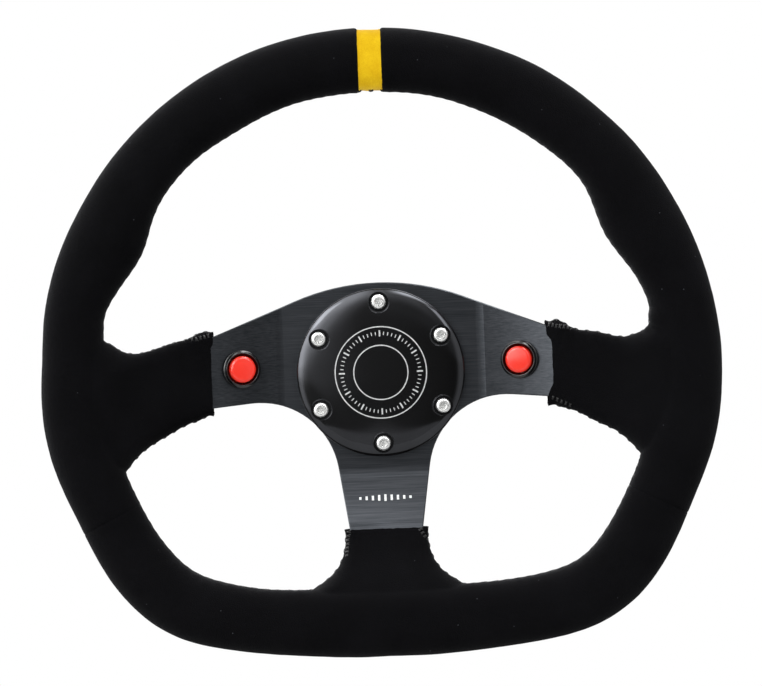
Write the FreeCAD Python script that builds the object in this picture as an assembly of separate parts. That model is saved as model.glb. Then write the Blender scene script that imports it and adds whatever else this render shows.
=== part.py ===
import FreeCAD, Part
import math
import os
from FreeCAD import Vector

# Quick release steering wheel: a dished, flat-bottomed 330 mm wheel with three sheet spokes, a suede
# grip on a moulded foam core, two push buttons, and a ball-lock release hub behind the spokes.
# Frame: X to the driver's right, Z up, Y away from the driver. The hub bolts to the steering column
# at y = 0, and the wheel stands on the driver's side of it, at negative Y.

os.makedirs("parts", exist_ok=True)

# ---------------------------------------------------------------- driving dimensions, mm and degrees

# Bolt circle shared by the column hub and the wheel
BOLT_COUNT = 6
BOLT_CIRCLE_R = 35.0
BOLT_R = 2.5
BOLT_HOLE_R = 2.65
BOLT_HEAD_R = 4.25
BOLT_HEAD_H = 3.5
BOLT_HEAD_EDGE = 0.9
BOLT_TIP_CHAMFER = 0.6
BOLT_CLEARANCE = 0.05
BOLT_SOCKET_FLATS = 4.0
BOLT_SOCKET_DEPTH = 2.2
COUNTERBORE_R = 4.9
COUNTERBORE_CHAMFER = 0.6
FLANGE_EDGE = 1.0

# Column half of the quick release
COLUMN_FLANGE_R = 42.0
COLUMN_FLANGE_T = 6.0
COLUMN_COUNTERBORE_DEPTH = 3.8
SPIGOT_R = 24.0
SPIGOT_LENGTH = 21.0
SPIGOT_NOSE_CHAMFER = 2.0
SHAFT_BORE_R = 15.0
KEY_COUNT = 6
KEY_WIDTH = 6.0
MASTER_KEY_WIDTH = 9.0
KEY_LENGTH = 5.0
KEY_OUTER_R = 28.2

# Wheel half of the quick release
RELEASE_GAP = 1.0
BARREL_LENGTH = 27.0
RELEASE_FLANGE_R = 41.0
RELEASE_FLANGE_T = 6.0
NOSE_ROOM = 1.5
THROAT_R = 20.0
SLIDE_CLEARANCE = 0.1
KEYWAY_CLEARANCE = 0.2

# Locking balls and the sprung collar that holds them in
BALL_COUNT = 6
BALL_R = 4.0
BALL_GRIP = 2.3
BALL_SETBACK = 10.0
BALL_CLEARANCE = 0.05
RELEASED_CLEARANCE = 0.2
COLLAR_TRAVEL = 7.0
COLLAR_LENGTH = 16.0
COLLAR_R = 37.5
COLLAR_LAND_LENGTH = 3.0
COLLAR_EDGE = 0.8
FLUTE_COUNT = 20
FLUTE_R = 3.0
FLUTE_DEPTH = 0.9
SNAP_RING_T = 2.0
SNAP_RING_WIDTH = 5.8
SNAP_GROOVE_DEPTH = 1.2
SNAP_LIP = 1.2
SNAP_GAP_ANGLE = 24.0
RELEASE_SPRING_WIRE_R = 0.75
RELEASE_SPRING_TURNS = 3
SPRING_POCKET_DEPTH = 3.4
SEAT_CLEARANCE = 0.05
WIRE_SIDES = 8

# Spoke plate
PLATE_T = 4.0
PLATE_BORE_R = 25.0
PLATE_CHAMFER = 0.5
BEND_START = 50.0
BEND_R = 14.0
TIP_BEND_R = 12.0
DISH = 28.8
HUB_TOP_APEX_Z = 53.4
HUB_TOP_R = 113.0
SPOKE_TOP_SLOPE = 0.4
SPOKE_SHOULDER_X = 88.0
SPOKE_NECK_X = 112.0
SPOKE_TIP_TOP_Z = 9.5
SPOKE_TIP_BOTTOM_Z = -17.3
SIDE_TIP_ROOM = 2.0
HUB_CORNER_X = 28.5
HUB_CORNER_Z = -10.1
HUB_CORNER_R = 39.1
LOWER_SPOKE_TAPER = 8.9
LOWER_NECK_Z = -84.0
LOWER_TIP_HALF_WIDTH = 16.5
TIP_CORNER_R = 4.0
SIDE_SLOPE = 16.0
LOWER_SLOPE = 22.2

# Cover disc over the bolt circle
COVER_R = 41.6
COVER_T = 6.0
COVER_CROWN = 0.6
COVER_EDGE_R = 3.8
COVER_SEAT_T = 2.1

# Flat bar ring inside the rim, and the rivets that join it to the spoke tips
CORE_CENTRE_R = 149.0
CORE_BOTTOM_Z = -120.4
CORE_WIDTH = 16.0
CORE_T = 5.0
CORE_CORNER_R = 45.0
RIVET_R = 2.5
RIVET_HEAD_R = 4.5
RIVET_HEAD_H = 1.8
RIVET_PITCH = 14.0

# Grip: angle clockwise from the top, outer radius, inner radius and half thickness of the finished rim
RIM_STATIONS = [
    (0.0, 167.3, 136.7, 14.0),
    (22.0, 167.5, 136.5, 14.0),
    (40.0, 166.8, 136.1, 14.0),
    (50.0, 166.3, 134.4, 14.3),
    (60.0, 165.8, 128.5, 15.0),
    (70.0, 165.7, 132.2, 14.8),
    (79.0, 165.2, 134.8, 14.5),
    (90.0, 165.1, 134.6, 14.5),
    (104.0, 164.4, 133.0, 14.5),
    (116.0, 162.9, 132.0, 14.0),
    (126.0, 164.6, 132.5, 14.3),
    (135.0, 163.9, 131.6, 14.3),
    (143.0, 158.8, 124.6, 14.0),
    (152.0, 149.8, 116.0, 13.8),
    (164.0, 141.2, 107.6, 13.5),
    (180.0, 136.9, 104.0, 13.5),
]
RIM_SQUARENESS = 2.3
SECTION_POINTS = 24
SUEDE_T = 1.2
GLUE_GAP = 0.15
SEAM_ANGLE = 116.5
SEAM_GAP = 0.2
STRIPE_WIDTH = 10.9
STRIPE_RECESS = 0.5

# Side cuffs: distance from the middle, top edge, bottom edge and thickness of the finished cuff
SIDE_CUFF_STATIONS = [
    (82.0, 23.2, -18.0, 9.0),
    (92.0, 21.2, -21.3, 10.0),
    (104.0, 17.2, -26.8, 12.5),
    (114.0, 14.6, -32.5, 16.0),
    (121.0, 14.0, -38.5, 19.0),
    (127.0, 17.0, -46.0, 21.5),
    (133.0, 20.0, -52.0, 22.5),
    (142.0, 20.0, -52.0, 22.5),
]
# Lower cuff: height, half width and thickness of the finished cuff
LOWER_CUFF_STATIONS = [
    (-75.3, 20.7, 9.0),
    (-84.0, 20.9, 10.5),
    (-91.0, 22.8, 13.5),
    (-97.0, 27.0, 17.0),
    (-102.0, 34.0, 19.5),
    (-107.0, 41.0, 21.0),
    (-116.0, 41.0, 21.0),
]

# Push buttons
BUTTON_X = 68.8
BUTTON_Z = 4.0
BUTTON_TRAVEL = 2.0
BEZEL_R = 9.4
BEZEL_RIM_H = 1.2
BEZEL_CONE_H = 1.3
BEZEL_LIP_R = 7.4
BARREL_R = 8.0
BUTTON_HOLE_CLEARANCE = 0.1
BUTTON_BARREL_DEPTH = 15.0
CAP_R = 6.8
CAP_CLEARANCE = 0.15
CAP_HEIGHT = 1.7
# The cap's face from its middle to its side: share of the radius, and how far it has dropped
CAP_PROFILE = [(0.0, 0.0), (0.5, 0.1), (0.9, 0.35), (0.975, 0.56), (1.0, 1.05)]
CAP_SKIRT_DEPTH = 3.0
STEM_R = 2.4
STEM_CLEARANCE = 0.2
WEB_DEPTH = 8.0
WEB_T = 1.5
SEAL_T = 0.8
SEAL_R = 8.9
CONTACT_R = 4.6
CONTACT_T = 0.6
CONTACT_GAP = 0.4
CONTACT_MEET_CLEARANCE = 0.1
BASE_T = 2.0
BASE_CLEARANCE = 0.05
TERMINAL_WIDTH = 2.8
TERMINAL_T = 0.6
TERMINAL_PITCH = 5.6
TERMINAL_REACH = 5.5
TERMINAL_STAND = 0.4
NUT_FLATS = 19.0
NUT_T = 2.5
BUTTON_SPRING_WIRE_R = 0.35
BUTTON_SPRING_R = 3.6
BUTTON_SPRING_TURNS = 3

# ------------------------------------------------------------------------- places along the hub axis

COLUMN_FRONT_Y = -COLUMN_FLANGE_T
SPIGOT_NOSE_Y = COLUMN_FRONT_Y - SPIGOT_LENGTH
BARREL_REAR_Y = COLUMN_FRONT_Y - RELEASE_GAP
BARREL_FRONT_Y = BARREL_REAR_Y - BARREL_LENGTH
PLATE_BACK_Y = BARREL_FRONT_Y - RELEASE_FLANGE_T
PLATE_FRONT_Y = PLATE_BACK_Y - PLATE_T
PLATE_MID_Y = PLATE_BACK_Y - PLATE_T / 2
COVER_FRONT_Y = PLATE_FRONT_Y - COVER_T
SCREW_SEAT_Y = PLATE_FRONT_Y - COVER_SEAT_T
RIM_Y = PLATE_MID_Y - DISH
CORE_BACK_Y = RIM_Y + CORE_T / 2
CORE_FRONT_Y = RIM_Y - CORE_T / 2
TIP_MID_Y = CORE_BACK_Y + PLATE_T / 2
BALL_Y = BARREL_REAR_Y - BALL_SETBACK
KEY_END_Y = COLUMN_FRONT_Y - KEY_LENGTH
SNAP_REAR_Y = BARREL_REAR_Y - SNAP_LIP
SNAP_FRONT_Y = SNAP_REAR_Y - SNAP_RING_T
COLLAR_REAR_Y = SNAP_FRONT_Y - SLIDE_CLEARANCE
COLLAR_FRONT_Y = COLLAR_REAR_Y - COLLAR_LENGTH

# --------------------------------------------------------------------------- radii of the ball lock

HUB_BORE_R = SPIGOT_R + SLIDE_CLEARANCE
BALL_LOCKED_R = SPIGOT_R - BALL_GRIP + BALL_R
BALL_TRAVEL = BALL_GRIP + RELEASED_CLEARANCE
HUB_BARREL_R = BALL_LOCKED_R + BALL_R
COLLAR_LAND_R = HUB_BARREL_R + SLIDE_CLEARANCE
RAMP_ANGLE = math.atan(BALL_TRAVEL / COLLAR_TRAVEL)
RAMP_OVERLAP = ((BALL_R + BALL_CLEARANCE) / math.cos(RAMP_ANGLE)
                - (COLLAR_LAND_R - BALL_LOCKED_R)) / math.tan(RAMP_ANGLE)
RAMP_START_Y = BALL_Y - RAMP_OVERLAP
RAMP_END_R = COLLAR_LAND_R + (COLLAR_REAR_Y - RAMP_START_Y) * math.tan(RAMP_ANGLE)
LAND_END_Y = RAMP_START_Y - COLLAR_LAND_LENGTH
SPRING_POCKET_R = COLLAR_LAND_R + SPRING_POCKET_DEPTH
RELEASE_SPRING_R = (HUB_BARREL_R + SPRING_POCKET_R) / 2
FIRST_BALL_ANGLE = 180.0 / KEY_COUNT

# How far a faceted corner stands in from the sharp one, as a share of its rounding
FACET_SHARE = 0.3
# A face whose outward direction has a Y below this looks at the driver
FRONT_LIMIT = -0.5
BIG = 400.0


# ------------------------------------------------------------------------------------ small helpers

def save(name, shape):
    """Write one finished node, after a plain test that it is sound."""
    if not shape.isValid() or not shape.Solids:
        raise ValueError(name + " is not a valid solid")
    print(f"{name:24s} solids {len(shape.Solids):2d}  volume {shape.Volume:10.1f}")
    shape.exportStep(f"parts/{name}.step")


def rod(radius, y_from, y_to, x=0.0, z=0.0):
    """A cylinder parallel to the hub axis."""
    low = min(y_from, y_to)
    return Part.makeCylinder(radius, abs(y_to - y_from), Vector(x, low, z), Vector(0, 1, 0))


def block(x0, x1, y0, y1, z0, z1):
    """A box from its lowest to its highest corner."""
    return Part.makeBox(x1 - x0, y1 - y0, z1 - z0, Vector(x0, y0, z0))


def turned(profile):
    """A solid turned about the hub axis from (radius, y) points."""
    points = [Vector(radius, y, 0) for radius, y in profile]
    face = Part.Face(Part.makePolygon(points + points[:1]))
    return face.revolve(Vector(0, 0, 0), Vector(0, 1, 0), 360)


def on_circle(radius, angle):
    """X and Z of a point on a circle about the hub axis, clockwise from the top for the driver."""
    turn = math.radians(angle)
    return radius * math.sin(turn), radius * math.cos(turn)


def about_axis(shape, angle):
    """A copy turned about the hub axis, clockwise for the driver."""
    copy = shape.copy()
    copy.rotate(Vector(0, 0, 0), Vector(0, 1, 0), angle)
    return copy


def ring_of(shape, count, first=0.0):
    """Copies of a shape spaced evenly about the hub axis."""
    return [about_axis(shape, first + 360.0 * index / count) for index in range(count)]


def rounded_wire(corners, place):
    """A closed wire through (u, v, radius) corners, each rounded by an arc; place() maps to space."""
    count = len(corners)
    starts, ends, middles = [], [], []
    for index in range(count):
        u, v, radius = corners[index]
        here = Vector(u, v, 0)
        before = Vector(*corners[index - 1][:2], 0) - here
        after = Vector(*corners[(index + 1) % count][:2], 0) - here
        before.normalize()
        after.normalize()
        half = before.getAngle(after) / 2
        reach = radius / math.tan(half) if radius > 0 else 0.0
        bisector = before + after
        starts.append(here + before * reach)
        ends.append(here + after * reach)
        middles.append(here + bisector.normalize() * (radius / math.sin(half) - radius) if radius > 0 else None)
    edges = []
    for index in range(count):
        if middles[index]:
            trio = [place(point) for point in (starts[index], middles[index], ends[index])]
            edges.append(Part.Arc(*trio).toShape())
        following = starts[(index + 1) % count]
        edges.append(Part.LineSegment(place(ends[index]), place(following)).toShape())
    return Part.Wire(edges)


def hexagon(flats, y_from, y_to, x=0.0, z=0.0):
    """A six-sided prism parallel to the hub axis, with two flats facing left and right."""
    corner = flats / math.sqrt(3)
    points = []
    for index in range(7):
        dx, dz = on_circle(corner, 60.0 * index)
        points.append(Vector(x + dx, y_from, z + dz))
    return Part.Face(Part.makePolygon(points)).extrude(Vector(0, y_to - y_from, 0))


def coil(radius, wire_r, y_from, y_to, turns):
    """A spring of eight-sided wire about the hub axis that just fits between two seats."""
    low = min(y_from, y_to) + wire_r + SEAT_CLEARANCE
    high = max(y_from, y_to) - wire_r - SEAT_CLEARANCE
    height = high - low
    path = Part.Wire(Part.makeHelix(height / turns, height, radius).Edges)
    corner_r = wire_r / math.cos(math.pi / WIRE_SIDES)
    section = []
    for index in range(WIRE_SIDES):
        turn = 2 * math.pi * (index + 0.5) / WIRE_SIDES
        section.append(Vector(radius + corner_r * math.cos(turn), 0, corner_r * math.sin(turn)))
    spring = path.makePipeShell([Part.makePolygon(section + section[:1])], True, True)
    spring.rotate(Vector(0, 0, 0), Vector(1, 0, 0), -90)
    spring.translate(Vector(0, low, 0))
    return spring


# ---------------------------------------------------------------------------------------- the screws

def cap_screw(seat_y, length):
    """A low-head socket screw on the hub axis, head towards the driver."""
    top = seat_y - BOLT_HEAD_H
    edge = BOLT_HEAD_EDGE
    facet = edge * FACET_SHARE
    shank_r = BOLT_R - BOLT_CLEARANCE
    tip = seat_y + length
    profile = [
        (0, top), (BOLT_HEAD_R - edge, top), (BOLT_HEAD_R - facet, top + facet), (BOLT_HEAD_R, top + edge),
        (BOLT_HEAD_R, seat_y), (shank_r, seat_y), (shank_r, tip - BOLT_TIP_CHAMFER),
        (shank_r - BOLT_TIP_CHAMFER, tip), (0, tip),
    ]
    return turned(profile).cut(hexagon(BOLT_SOCKET_FLATS, top, top + BOLT_SOCKET_DEPTH))


def cover_screws():
    """Six screws through the cover and the spoke plate into the release flange."""
    length = SCREW_SEAT_Y - BARREL_FRONT_Y
    screw = cap_screw(SCREW_SEAT_Y, abs(length) - SEAT_CLEARANCE)
    screw.translate(Vector(0, 0, BOLT_CIRCLE_R))
    return Part.makeCompound(ring_of(screw, BOLT_COUNT))


def bolt_holes(radius, y_from, y_to):
    """Cutters for one hole at each place of the bolt circle."""
    return ring_of(rod(radius, y_from, y_to, 0, BOLT_CIRCLE_R), BOLT_COUNT)


# ------------------------------------------------------------------------------------- column hub

def drive_key(width, clearance):
    """One driving key, or with a clearance the slot that takes it, at the top of the hub."""
    half = width / 2 + clearance
    outer = KEY_OUTER_R if clearance == 0 else HUB_BARREL_R + BALL_R
    end = KEY_END_Y - 2 * clearance
    key = block(-half, half, end, COLUMN_FRONT_Y + COLUMN_FLANGE_T / 2, SPIGOT_R / 2, outer)
    limit = rod(outer, end, COLUMN_FRONT_Y + COLUMN_FLANGE_T / 2)
    return key.common(limit) if clearance == 0 else key


def all_keys(clearance):
    """The keys between the balls: a wide master key at the top, so the wheel goes on one way up."""
    keys = [drive_key(MASTER_KEY_WIDTH, clearance)]
    for index in range(1, KEY_COUNT):
        keys.append(about_axis(drive_key(KEY_WIDTH, clearance), 360.0 * index / KEY_COUNT))
    return keys


def column_hub():
    """The half that stays on the column: bolted flange, driving keys and grooved spigot."""
    edge = FLANGE_EDGE
    nose = SPIGOT_NOSE_Y
    profile = [
        (SHAFT_BORE_R, 0), (COLUMN_FLANGE_R - edge, 0), (COLUMN_FLANGE_R, -edge),
        (COLUMN_FLANGE_R, COLUMN_FRONT_Y + edge), (COLUMN_FLANGE_R - edge, COLUMN_FRONT_Y),
        (SPIGOT_R, COLUMN_FRONT_Y), (SPIGOT_R, nose + SPIGOT_NOSE_CHAMFER),
        (SPIGOT_R - SPIGOT_NOSE_CHAMFER, nose), (SHAFT_BORE_R, nose),
    ]
    hub = turned(profile).fuse(all_keys(0))
    groove = Part.makeTorus(BALL_LOCKED_R, BALL_R + 2 * BALL_CLEARANCE, Vector(0, BALL_Y, 0), Vector(0, 1, 0))
    bore = rod(SHAFT_BORE_R, nose, 0)
    holes = bolt_holes(BOLT_HOLE_R, COLUMN_FRONT_Y, 0)
    sinks = bolt_holes(COUNTERBORE_R, COLUMN_FRONT_Y, COLUMN_FRONT_Y + COLUMN_COUNTERBORE_DEPTH)
    return hub.cut([groove, bore] + holes + sinks).removeSplitter()


# ------------------------------------------------------------------------------------ release hub

def ball_pocket():
    """Cutter for one ball hole at the top: a seat the ball cannot fall through, open outwards."""
    radius = BALL_R + BALL_CLEARANCE
    seat = Part.makeSphere(radius, Vector(0, BALL_Y, BALL_LOCKED_R))
    way_out = Part.makeCylinder(radius, BALL_R * 2, Vector(0, BALL_Y, BALL_LOCKED_R), Vector(0, 0, 1))
    return seat.fuse(way_out)


def release_body():
    """The wheel's half: a barrel over the spigot, with a flange under the spoke plate."""
    edge = FLANGE_EDGE
    throat_y = SPIGOT_NOSE_Y - NOSE_ROOM
    groove_r = HUB_BARREL_R - SNAP_GROOVE_DEPTH
    profile = [
        (HUB_BORE_R, BARREL_REAR_Y), (HUB_BARREL_R, BARREL_REAR_Y), (HUB_BARREL_R, SNAP_REAR_Y),
        (groove_r, SNAP_REAR_Y), (groove_r, SNAP_FRONT_Y), (HUB_BARREL_R, SNAP_FRONT_Y),
        (HUB_BARREL_R, BARREL_FRONT_Y), (RELEASE_FLANGE_R - edge, BARREL_FRONT_Y),
        (RELEASE_FLANGE_R, BARREL_FRONT_Y - edge), (RELEASE_FLANGE_R, PLATE_BACK_Y),
        (THROAT_R, PLATE_BACK_Y), (THROAT_R, throat_y), (HUB_BORE_R, throat_y),
    ]
    pockets = ring_of(ball_pocket(), BALL_COUNT, FIRST_BALL_ANGLE)
    holes = bolt_holes(BOLT_R, PLATE_BACK_Y, BARREL_FRONT_Y)
    return turned(profile).cut(pockets + all_keys(KEYWAY_CLEARANCE) + holes)


def release_collar():
    """The fluted sleeve that is drawn towards the driver to let the balls out."""
    edge = COLLAR_EDGE
    profile = [
        (RAMP_END_R, COLLAR_REAR_Y), (COLLAR_R - edge, COLLAR_REAR_Y), (COLLAR_R, COLLAR_REAR_Y - edge),
        (COLLAR_R, COLLAR_FRONT_Y + edge), (COLLAR_R - edge, COLLAR_FRONT_Y),
        (SPRING_POCKET_R, COLLAR_FRONT_Y), (SPRING_POCKET_R, LAND_END_Y), (COLLAR_LAND_R, LAND_END_Y),
        (COLLAR_LAND_R, RAMP_START_Y),
    ]
    centre_r = COLLAR_R - FLUTE_DEPTH + FLUTE_R
    flute = rod(FLUTE_R, COLLAR_FRONT_Y, COLLAR_REAR_Y, 0, centre_r)
    return turned(profile).cut(ring_of(flute, FLUTE_COUNT))


def release_spring():
    """Compression spring between the collar's pocket and the release flange."""
    return coil(RELEASE_SPRING_R, RELEASE_SPRING_WIRE_R, BARREL_FRONT_Y, LAND_END_Y, RELEASE_SPRING_TURNS)


def snap_ring():
    """Open retaining ring that keeps the collar on the barrel."""
    inner = HUB_BARREL_R - SNAP_GROOVE_DEPTH
    outer = inner + SNAP_RING_WIDTH
    ring = rod(outer, SNAP_REAR_Y, SNAP_FRONT_Y).cut(rod(inner, SNAP_REAR_Y, SNAP_FRONT_Y))
    x, z = on_circle(2 * outer, SNAP_GAP_ANGLE / 2)
    wedge = [Vector(0, SNAP_FRONT_Y, 0), Vector(x, SNAP_FRONT_Y, -z), Vector(-x, SNAP_FRONT_Y, -z)]
    gap = Part.Face(Part.makePolygon(wedge + wedge[:1])).extrude(Vector(0, SNAP_RING_T, 0))
    return ring.cut(gap)


def locking_ball(index):
    """One steel ball at its locked place, numbered clockwise from the top."""
    x, z = on_circle(BALL_LOCKED_R, FIRST_BALL_ANGLE + 360.0 * index / BALL_COUNT)
    return Part.makeSphere(BALL_R, Vector(x, BALL_Y, z))


# ------------------------------------------------------------------------------------- spoke plate

def strip(points, radii, thickness, place):
    """A bent strip of sheet: its middle line's points, its bend radii, its thickness."""
    half = thickness / 2
    side_a, side_b = [], []
    for index, (u, v) in enumerate(points):
        here = Vector(u, v, 0)
        along = []
        if index > 0:
            along.append(here - Vector(*points[index - 1], 0))
        if index < len(points) - 1:
            along.append(Vector(*points[index + 1], 0) - here)
        normals = []
        for step in along:
            step.normalize()
            normals.append(Vector(-step.y, step.x, 0))
        mitre = normals[0] + normals[-1]
        mitre = mitre * (2 * half / mitre.dot(mitre))
        turn = 0.0 if len(along) < 2 else along[0].cross(along[1]).z
        lean = math.copysign(half, turn) if turn else 0.0
        radius = radii[index]
        first, second = here + mitre, here - mitre
        side_a.append((first.x, first.y, radius - lean if radius else 0.0))
        side_b.append((second.x, second.y, radius + lean if radius else 0.0))
    return rounded_wire(side_a + side_b[::-1], place)


def slope_end(slope):
    """How far from the axis a spoke of this slope meets the plane of its flat tip."""
    return BEND_START + (PLATE_MID_Y - TIP_MID_Y) / math.tan(math.radians(slope))


def spoke_line(distance, slope):
    """Y of the middle of the sheet at a distance from the hub axis."""
    rise = max(0.0, min(distance, slope_end(slope)) - BEND_START)
    return PLATE_MID_Y - rise * math.tan(math.radians(slope))


def side_slab():
    """The bent sheet of both side spokes, deeper than its outline."""
    far = CORE_CENTRE_R + CORE_WIDTH
    foot = slope_end(SIDE_SLOPE)
    right = [(BEND_START, PLATE_MID_Y), (foot, TIP_MID_Y), (far, TIP_MID_Y)]
    left = [(-x, y) for x, y in right[::-1]]
    radii = [0, TIP_BEND_R, BEND_R, BEND_R, TIP_BEND_R, 0]
    low = HUB_CORNER_Z - HUB_CORNER_R / 2
    wire = strip(left + right, radii, PLATE_T, lambda p: Vector(p.x, p.y, low))
    return Part.Face(wire).extrude(Vector(0, 0, HUB_TOP_APEX_Z - low))


def lower_slab():
    """The bent sheet of the lower spoke, wider than its outline."""
    far = -CORE_BOTTOM_Z + CORE_WIDTH
    foot = slope_end(LOWER_SLOPE)
    overlap = HUB_CORNER_R / 4
    points = [(-HUB_CORNER_Z + overlap, PLATE_MID_Y), (BEND_START, PLATE_MID_Y), (foot, TIP_MID_Y),
              (far, TIP_MID_Y)]
    half = BEND_START - TIP_BEND_R / 2
    wire = strip(points, [0, BEND_R, TIP_BEND_R, 0], PLATE_T, lambda p: Vector(-half, p.y, -p.x))
    return Part.Face(wire).extrude(Vector(2 * half, 0, 0))


def plate_outline():
    """The spokes as the driver sees them, as a prism through the whole depth."""
    shoulder_z = HUB_TOP_APEX_Z - SPOKE_TOP_SLOPE * SPOKE_SHOULDER_X
    tip_x = CORE_CENTRE_R + CORE_WIDTH / 2 - SIDE_TIP_ROOM
    tip_z = CORE_BOTTOM_Z - CORE_WIDTH / 2 + SIDE_TIP_ROOM
    taper = math.tan(math.radians(LOWER_SPOKE_TAPER))
    neck_half = HUB_CORNER_X - (HUB_CORNER_Z - LOWER_NECK_Z) * taper
    right = [
        (SPOKE_SHOULDER_X, shoulder_z, TIP_CORNER_R), (SPOKE_NECK_X, SPOKE_TIP_TOP_Z, TIP_CORNER_R),
        (tip_x, SPOKE_TIP_TOP_Z, TIP_CORNER_R), (tip_x, SPOKE_TIP_BOTTOM_Z, TIP_CORNER_R),
        (SPOKE_NECK_X, SPOKE_TIP_BOTTOM_Z, 0), (HUB_CORNER_X, HUB_CORNER_Z, HUB_CORNER_R),
        (neck_half, LOWER_NECK_Z, TIP_CORNER_R), (LOWER_TIP_HALF_WIDTH, tip_z, TIP_CORNER_R),
    ]
    left = [(-x, z, radius) for x, z, radius in right[::-1]]
    top = [(0.0, HUB_TOP_APEX_Z, HUB_TOP_R)]
    wire = rounded_wire(top + right + left, lambda p: Vector(p.x, 0, p.y))
    return Part.Face(wire).extrude(Vector(0, -BIG, 0))


def rivet_places():
    """Centres of the two rivets at each spoke tip, in X and Z."""
    middle_z = (SPOKE_TIP_TOP_Z + SPOKE_TIP_BOTTOM_Z) / 2
    places = []
    for step in (-RIVET_PITCH / 2, RIVET_PITCH / 2):
        places.append((CORE_CENTRE_R - SIDE_TIP_ROOM / 2, middle_z + step))
        places.append((-CORE_CENTRE_R + SIDE_TIP_ROOM / 2, middle_z + step))
        places.append((step, CORE_BOTTOM_Z + SIDE_TIP_ROOM / 2))
    return places


def rivet_holes():
    """Cutters for the rivet holes through the spoke tips and the bar ring."""
    return [rod(RIVET_R, CORE_FRONT_Y, CORE_BACK_Y + PLATE_T, x, z) for x, z in rivet_places()]


def faces_driver(face):
    """Whether the middle of a face looks towards the driver."""
    u_from, u_to, v_from, v_to = face.ParameterRange
    return face.normalAt((u_from + u_to) / 2, (v_from + v_to) / 2).y < FRONT_LIMIT


def outline_edges(sheet):
    """The edges round the driver's side of a sheet: those that only one of its front faces has."""
    found = {}
    for face in sheet.Faces:
        if faces_driver(face):
            for edge in face.Edges:
                found.setdefault(edge.hashCode(), []).append(edge)
    return [edges[0] for edges in found.values() if len(edges) == 1]


def spoke_plate():
    """One pressed sheet: flat hub, two side spokes and a lower spoke, all dished to the driver."""
    sheet = side_slab().fuse(lower_slab()).removeSplitter().common(plate_outline()).Solids[0]
    sheet = sheet.makeChamfer(PLATE_CHAMFER, outline_edges(sheet))
    holes = bolt_holes(BOLT_HOLE_R, PLATE_FRONT_Y, PLATE_BACK_Y)
    holes.append(rod(PLATE_BORE_R, PLATE_FRONT_Y, PLATE_BACK_Y))
    buttons = []
    for side in (-1, 1):
        hole = rod(BARREL_R + BUTTON_HOLE_CLEARANCE, -PLATE_T, 2 * PLATE_T)
        buttons.append(at_button(hole, side))
    return sheet.cut(holes + buttons + rivet_holes())


def rim_core():
    """Flat bar ring inside the grip: a circle with a straight bottom."""
    def disc(grow):
        round_part = rod(CORE_CENTRE_R + grow, CORE_FRONT_Y, CORE_BACK_Y)
        bottom = CORE_BOTTOM_Z - grow
        disc_cut = round_part.common(block(-BIG, BIG, -BIG, BIG, bottom, BIG))
        corners = [edge for edge in disc_cut.Edges
                   if len(edge.Vertexes) == 2
                   and abs(edge.Vertexes[0].Point.y - edge.Vertexes[1].Point.y) > CORE_T / 2
                   and edge.CenterOfMass.z < bottom + 1]
        return disc_cut.makeFillet(CORE_CORNER_R + grow, corners)
    half = CORE_WIDTH / 2
    return disc(half).cut(disc(-half)).cut(rivet_holes())


def spoke_rivets():
    """Two domed rivets at each of the three spoke tips."""
    front, back = CORE_FRONT_Y, CORE_BACK_Y + PLATE_T
    rim_r = RIVET_HEAD_R - RIVET_HEAD_H / 2
    profile = [
        (0, front - RIVET_HEAD_H), (rim_r, front - RIVET_HEAD_H), (RIVET_HEAD_R, front), (RIVET_R, front),
        (RIVET_R, back), (RIVET_HEAD_R, back), (rim_r, back + RIVET_HEAD_H), (0, back + RIVET_HEAD_H),
    ]
    rivets = []
    for x, z in rivet_places():
        rivet = turned(profile)
        rivet.translate(Vector(x, 0, z))
        rivets.append(rivet)
    return rivets


# ------------------------------------------------------------------------------------------- cover

def cover_plate():
    """Slightly crowned disc with a rounded edge and six counterbored holes."""
    crest = COVER_FRONT_Y
    shoulder = crest + COVER_CROWN
    flat_r = COVER_R - COVER_EDGE_R
    bulge = COVER_EDGE_R * math.sqrt(0.5)
    edge_y = shoulder + COVER_EDGE_R
    crown = Part.Arc(Vector(0, crest, 0), Vector(flat_r / 2, crest + COVER_CROWN / 4, 0),
                     Vector(flat_r, shoulder, 0))
    rounding = Part.Arc(Vector(flat_r, shoulder, 0), Vector(flat_r + bulge, edge_y - bulge, 0),
                        Vector(COVER_R, edge_y, 0))
    corner, centre = Vector(COVER_R, PLATE_FRONT_Y, 0), Vector(0, PLATE_FRONT_Y, 0)
    edges = [crown.toShape(), rounding.toShape(), Part.LineSegment(Vector(COVER_R, edge_y, 0), corner).toShape(),
             Part.LineSegment(corner, centre).toShape(), Part.LineSegment(centre, Vector(0, crest, 0)).toShape()]
    disc = Part.Face(Part.Wire(edges)).revolve(Vector(0, 0, 0), Vector(0, 1, 0), 360)
    chamfer = COUNTERBORE_CHAMFER
    mouth = shoulder + chamfer
    sink = turned([(0, SCREW_SEAT_Y), (COUNTERBORE_R, SCREW_SEAT_Y), (COUNTERBORE_R, mouth),
                   (COUNTERBORE_R + 2 * chamfer, mouth - 2 * chamfer), (0, mouth - 2 * chamfer)])
    sink.translate(Vector(0, 0, BOLT_CIRCLE_R))
    holes = bolt_holes(BOLT_HOLE_R, SCREW_SEAT_Y, PLATE_FRONT_Y)
    return disc.cut(ring_of(sink, BOLT_COUNT) + holes)


# -------------------------------------------------------------------------------------------- grip

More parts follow.
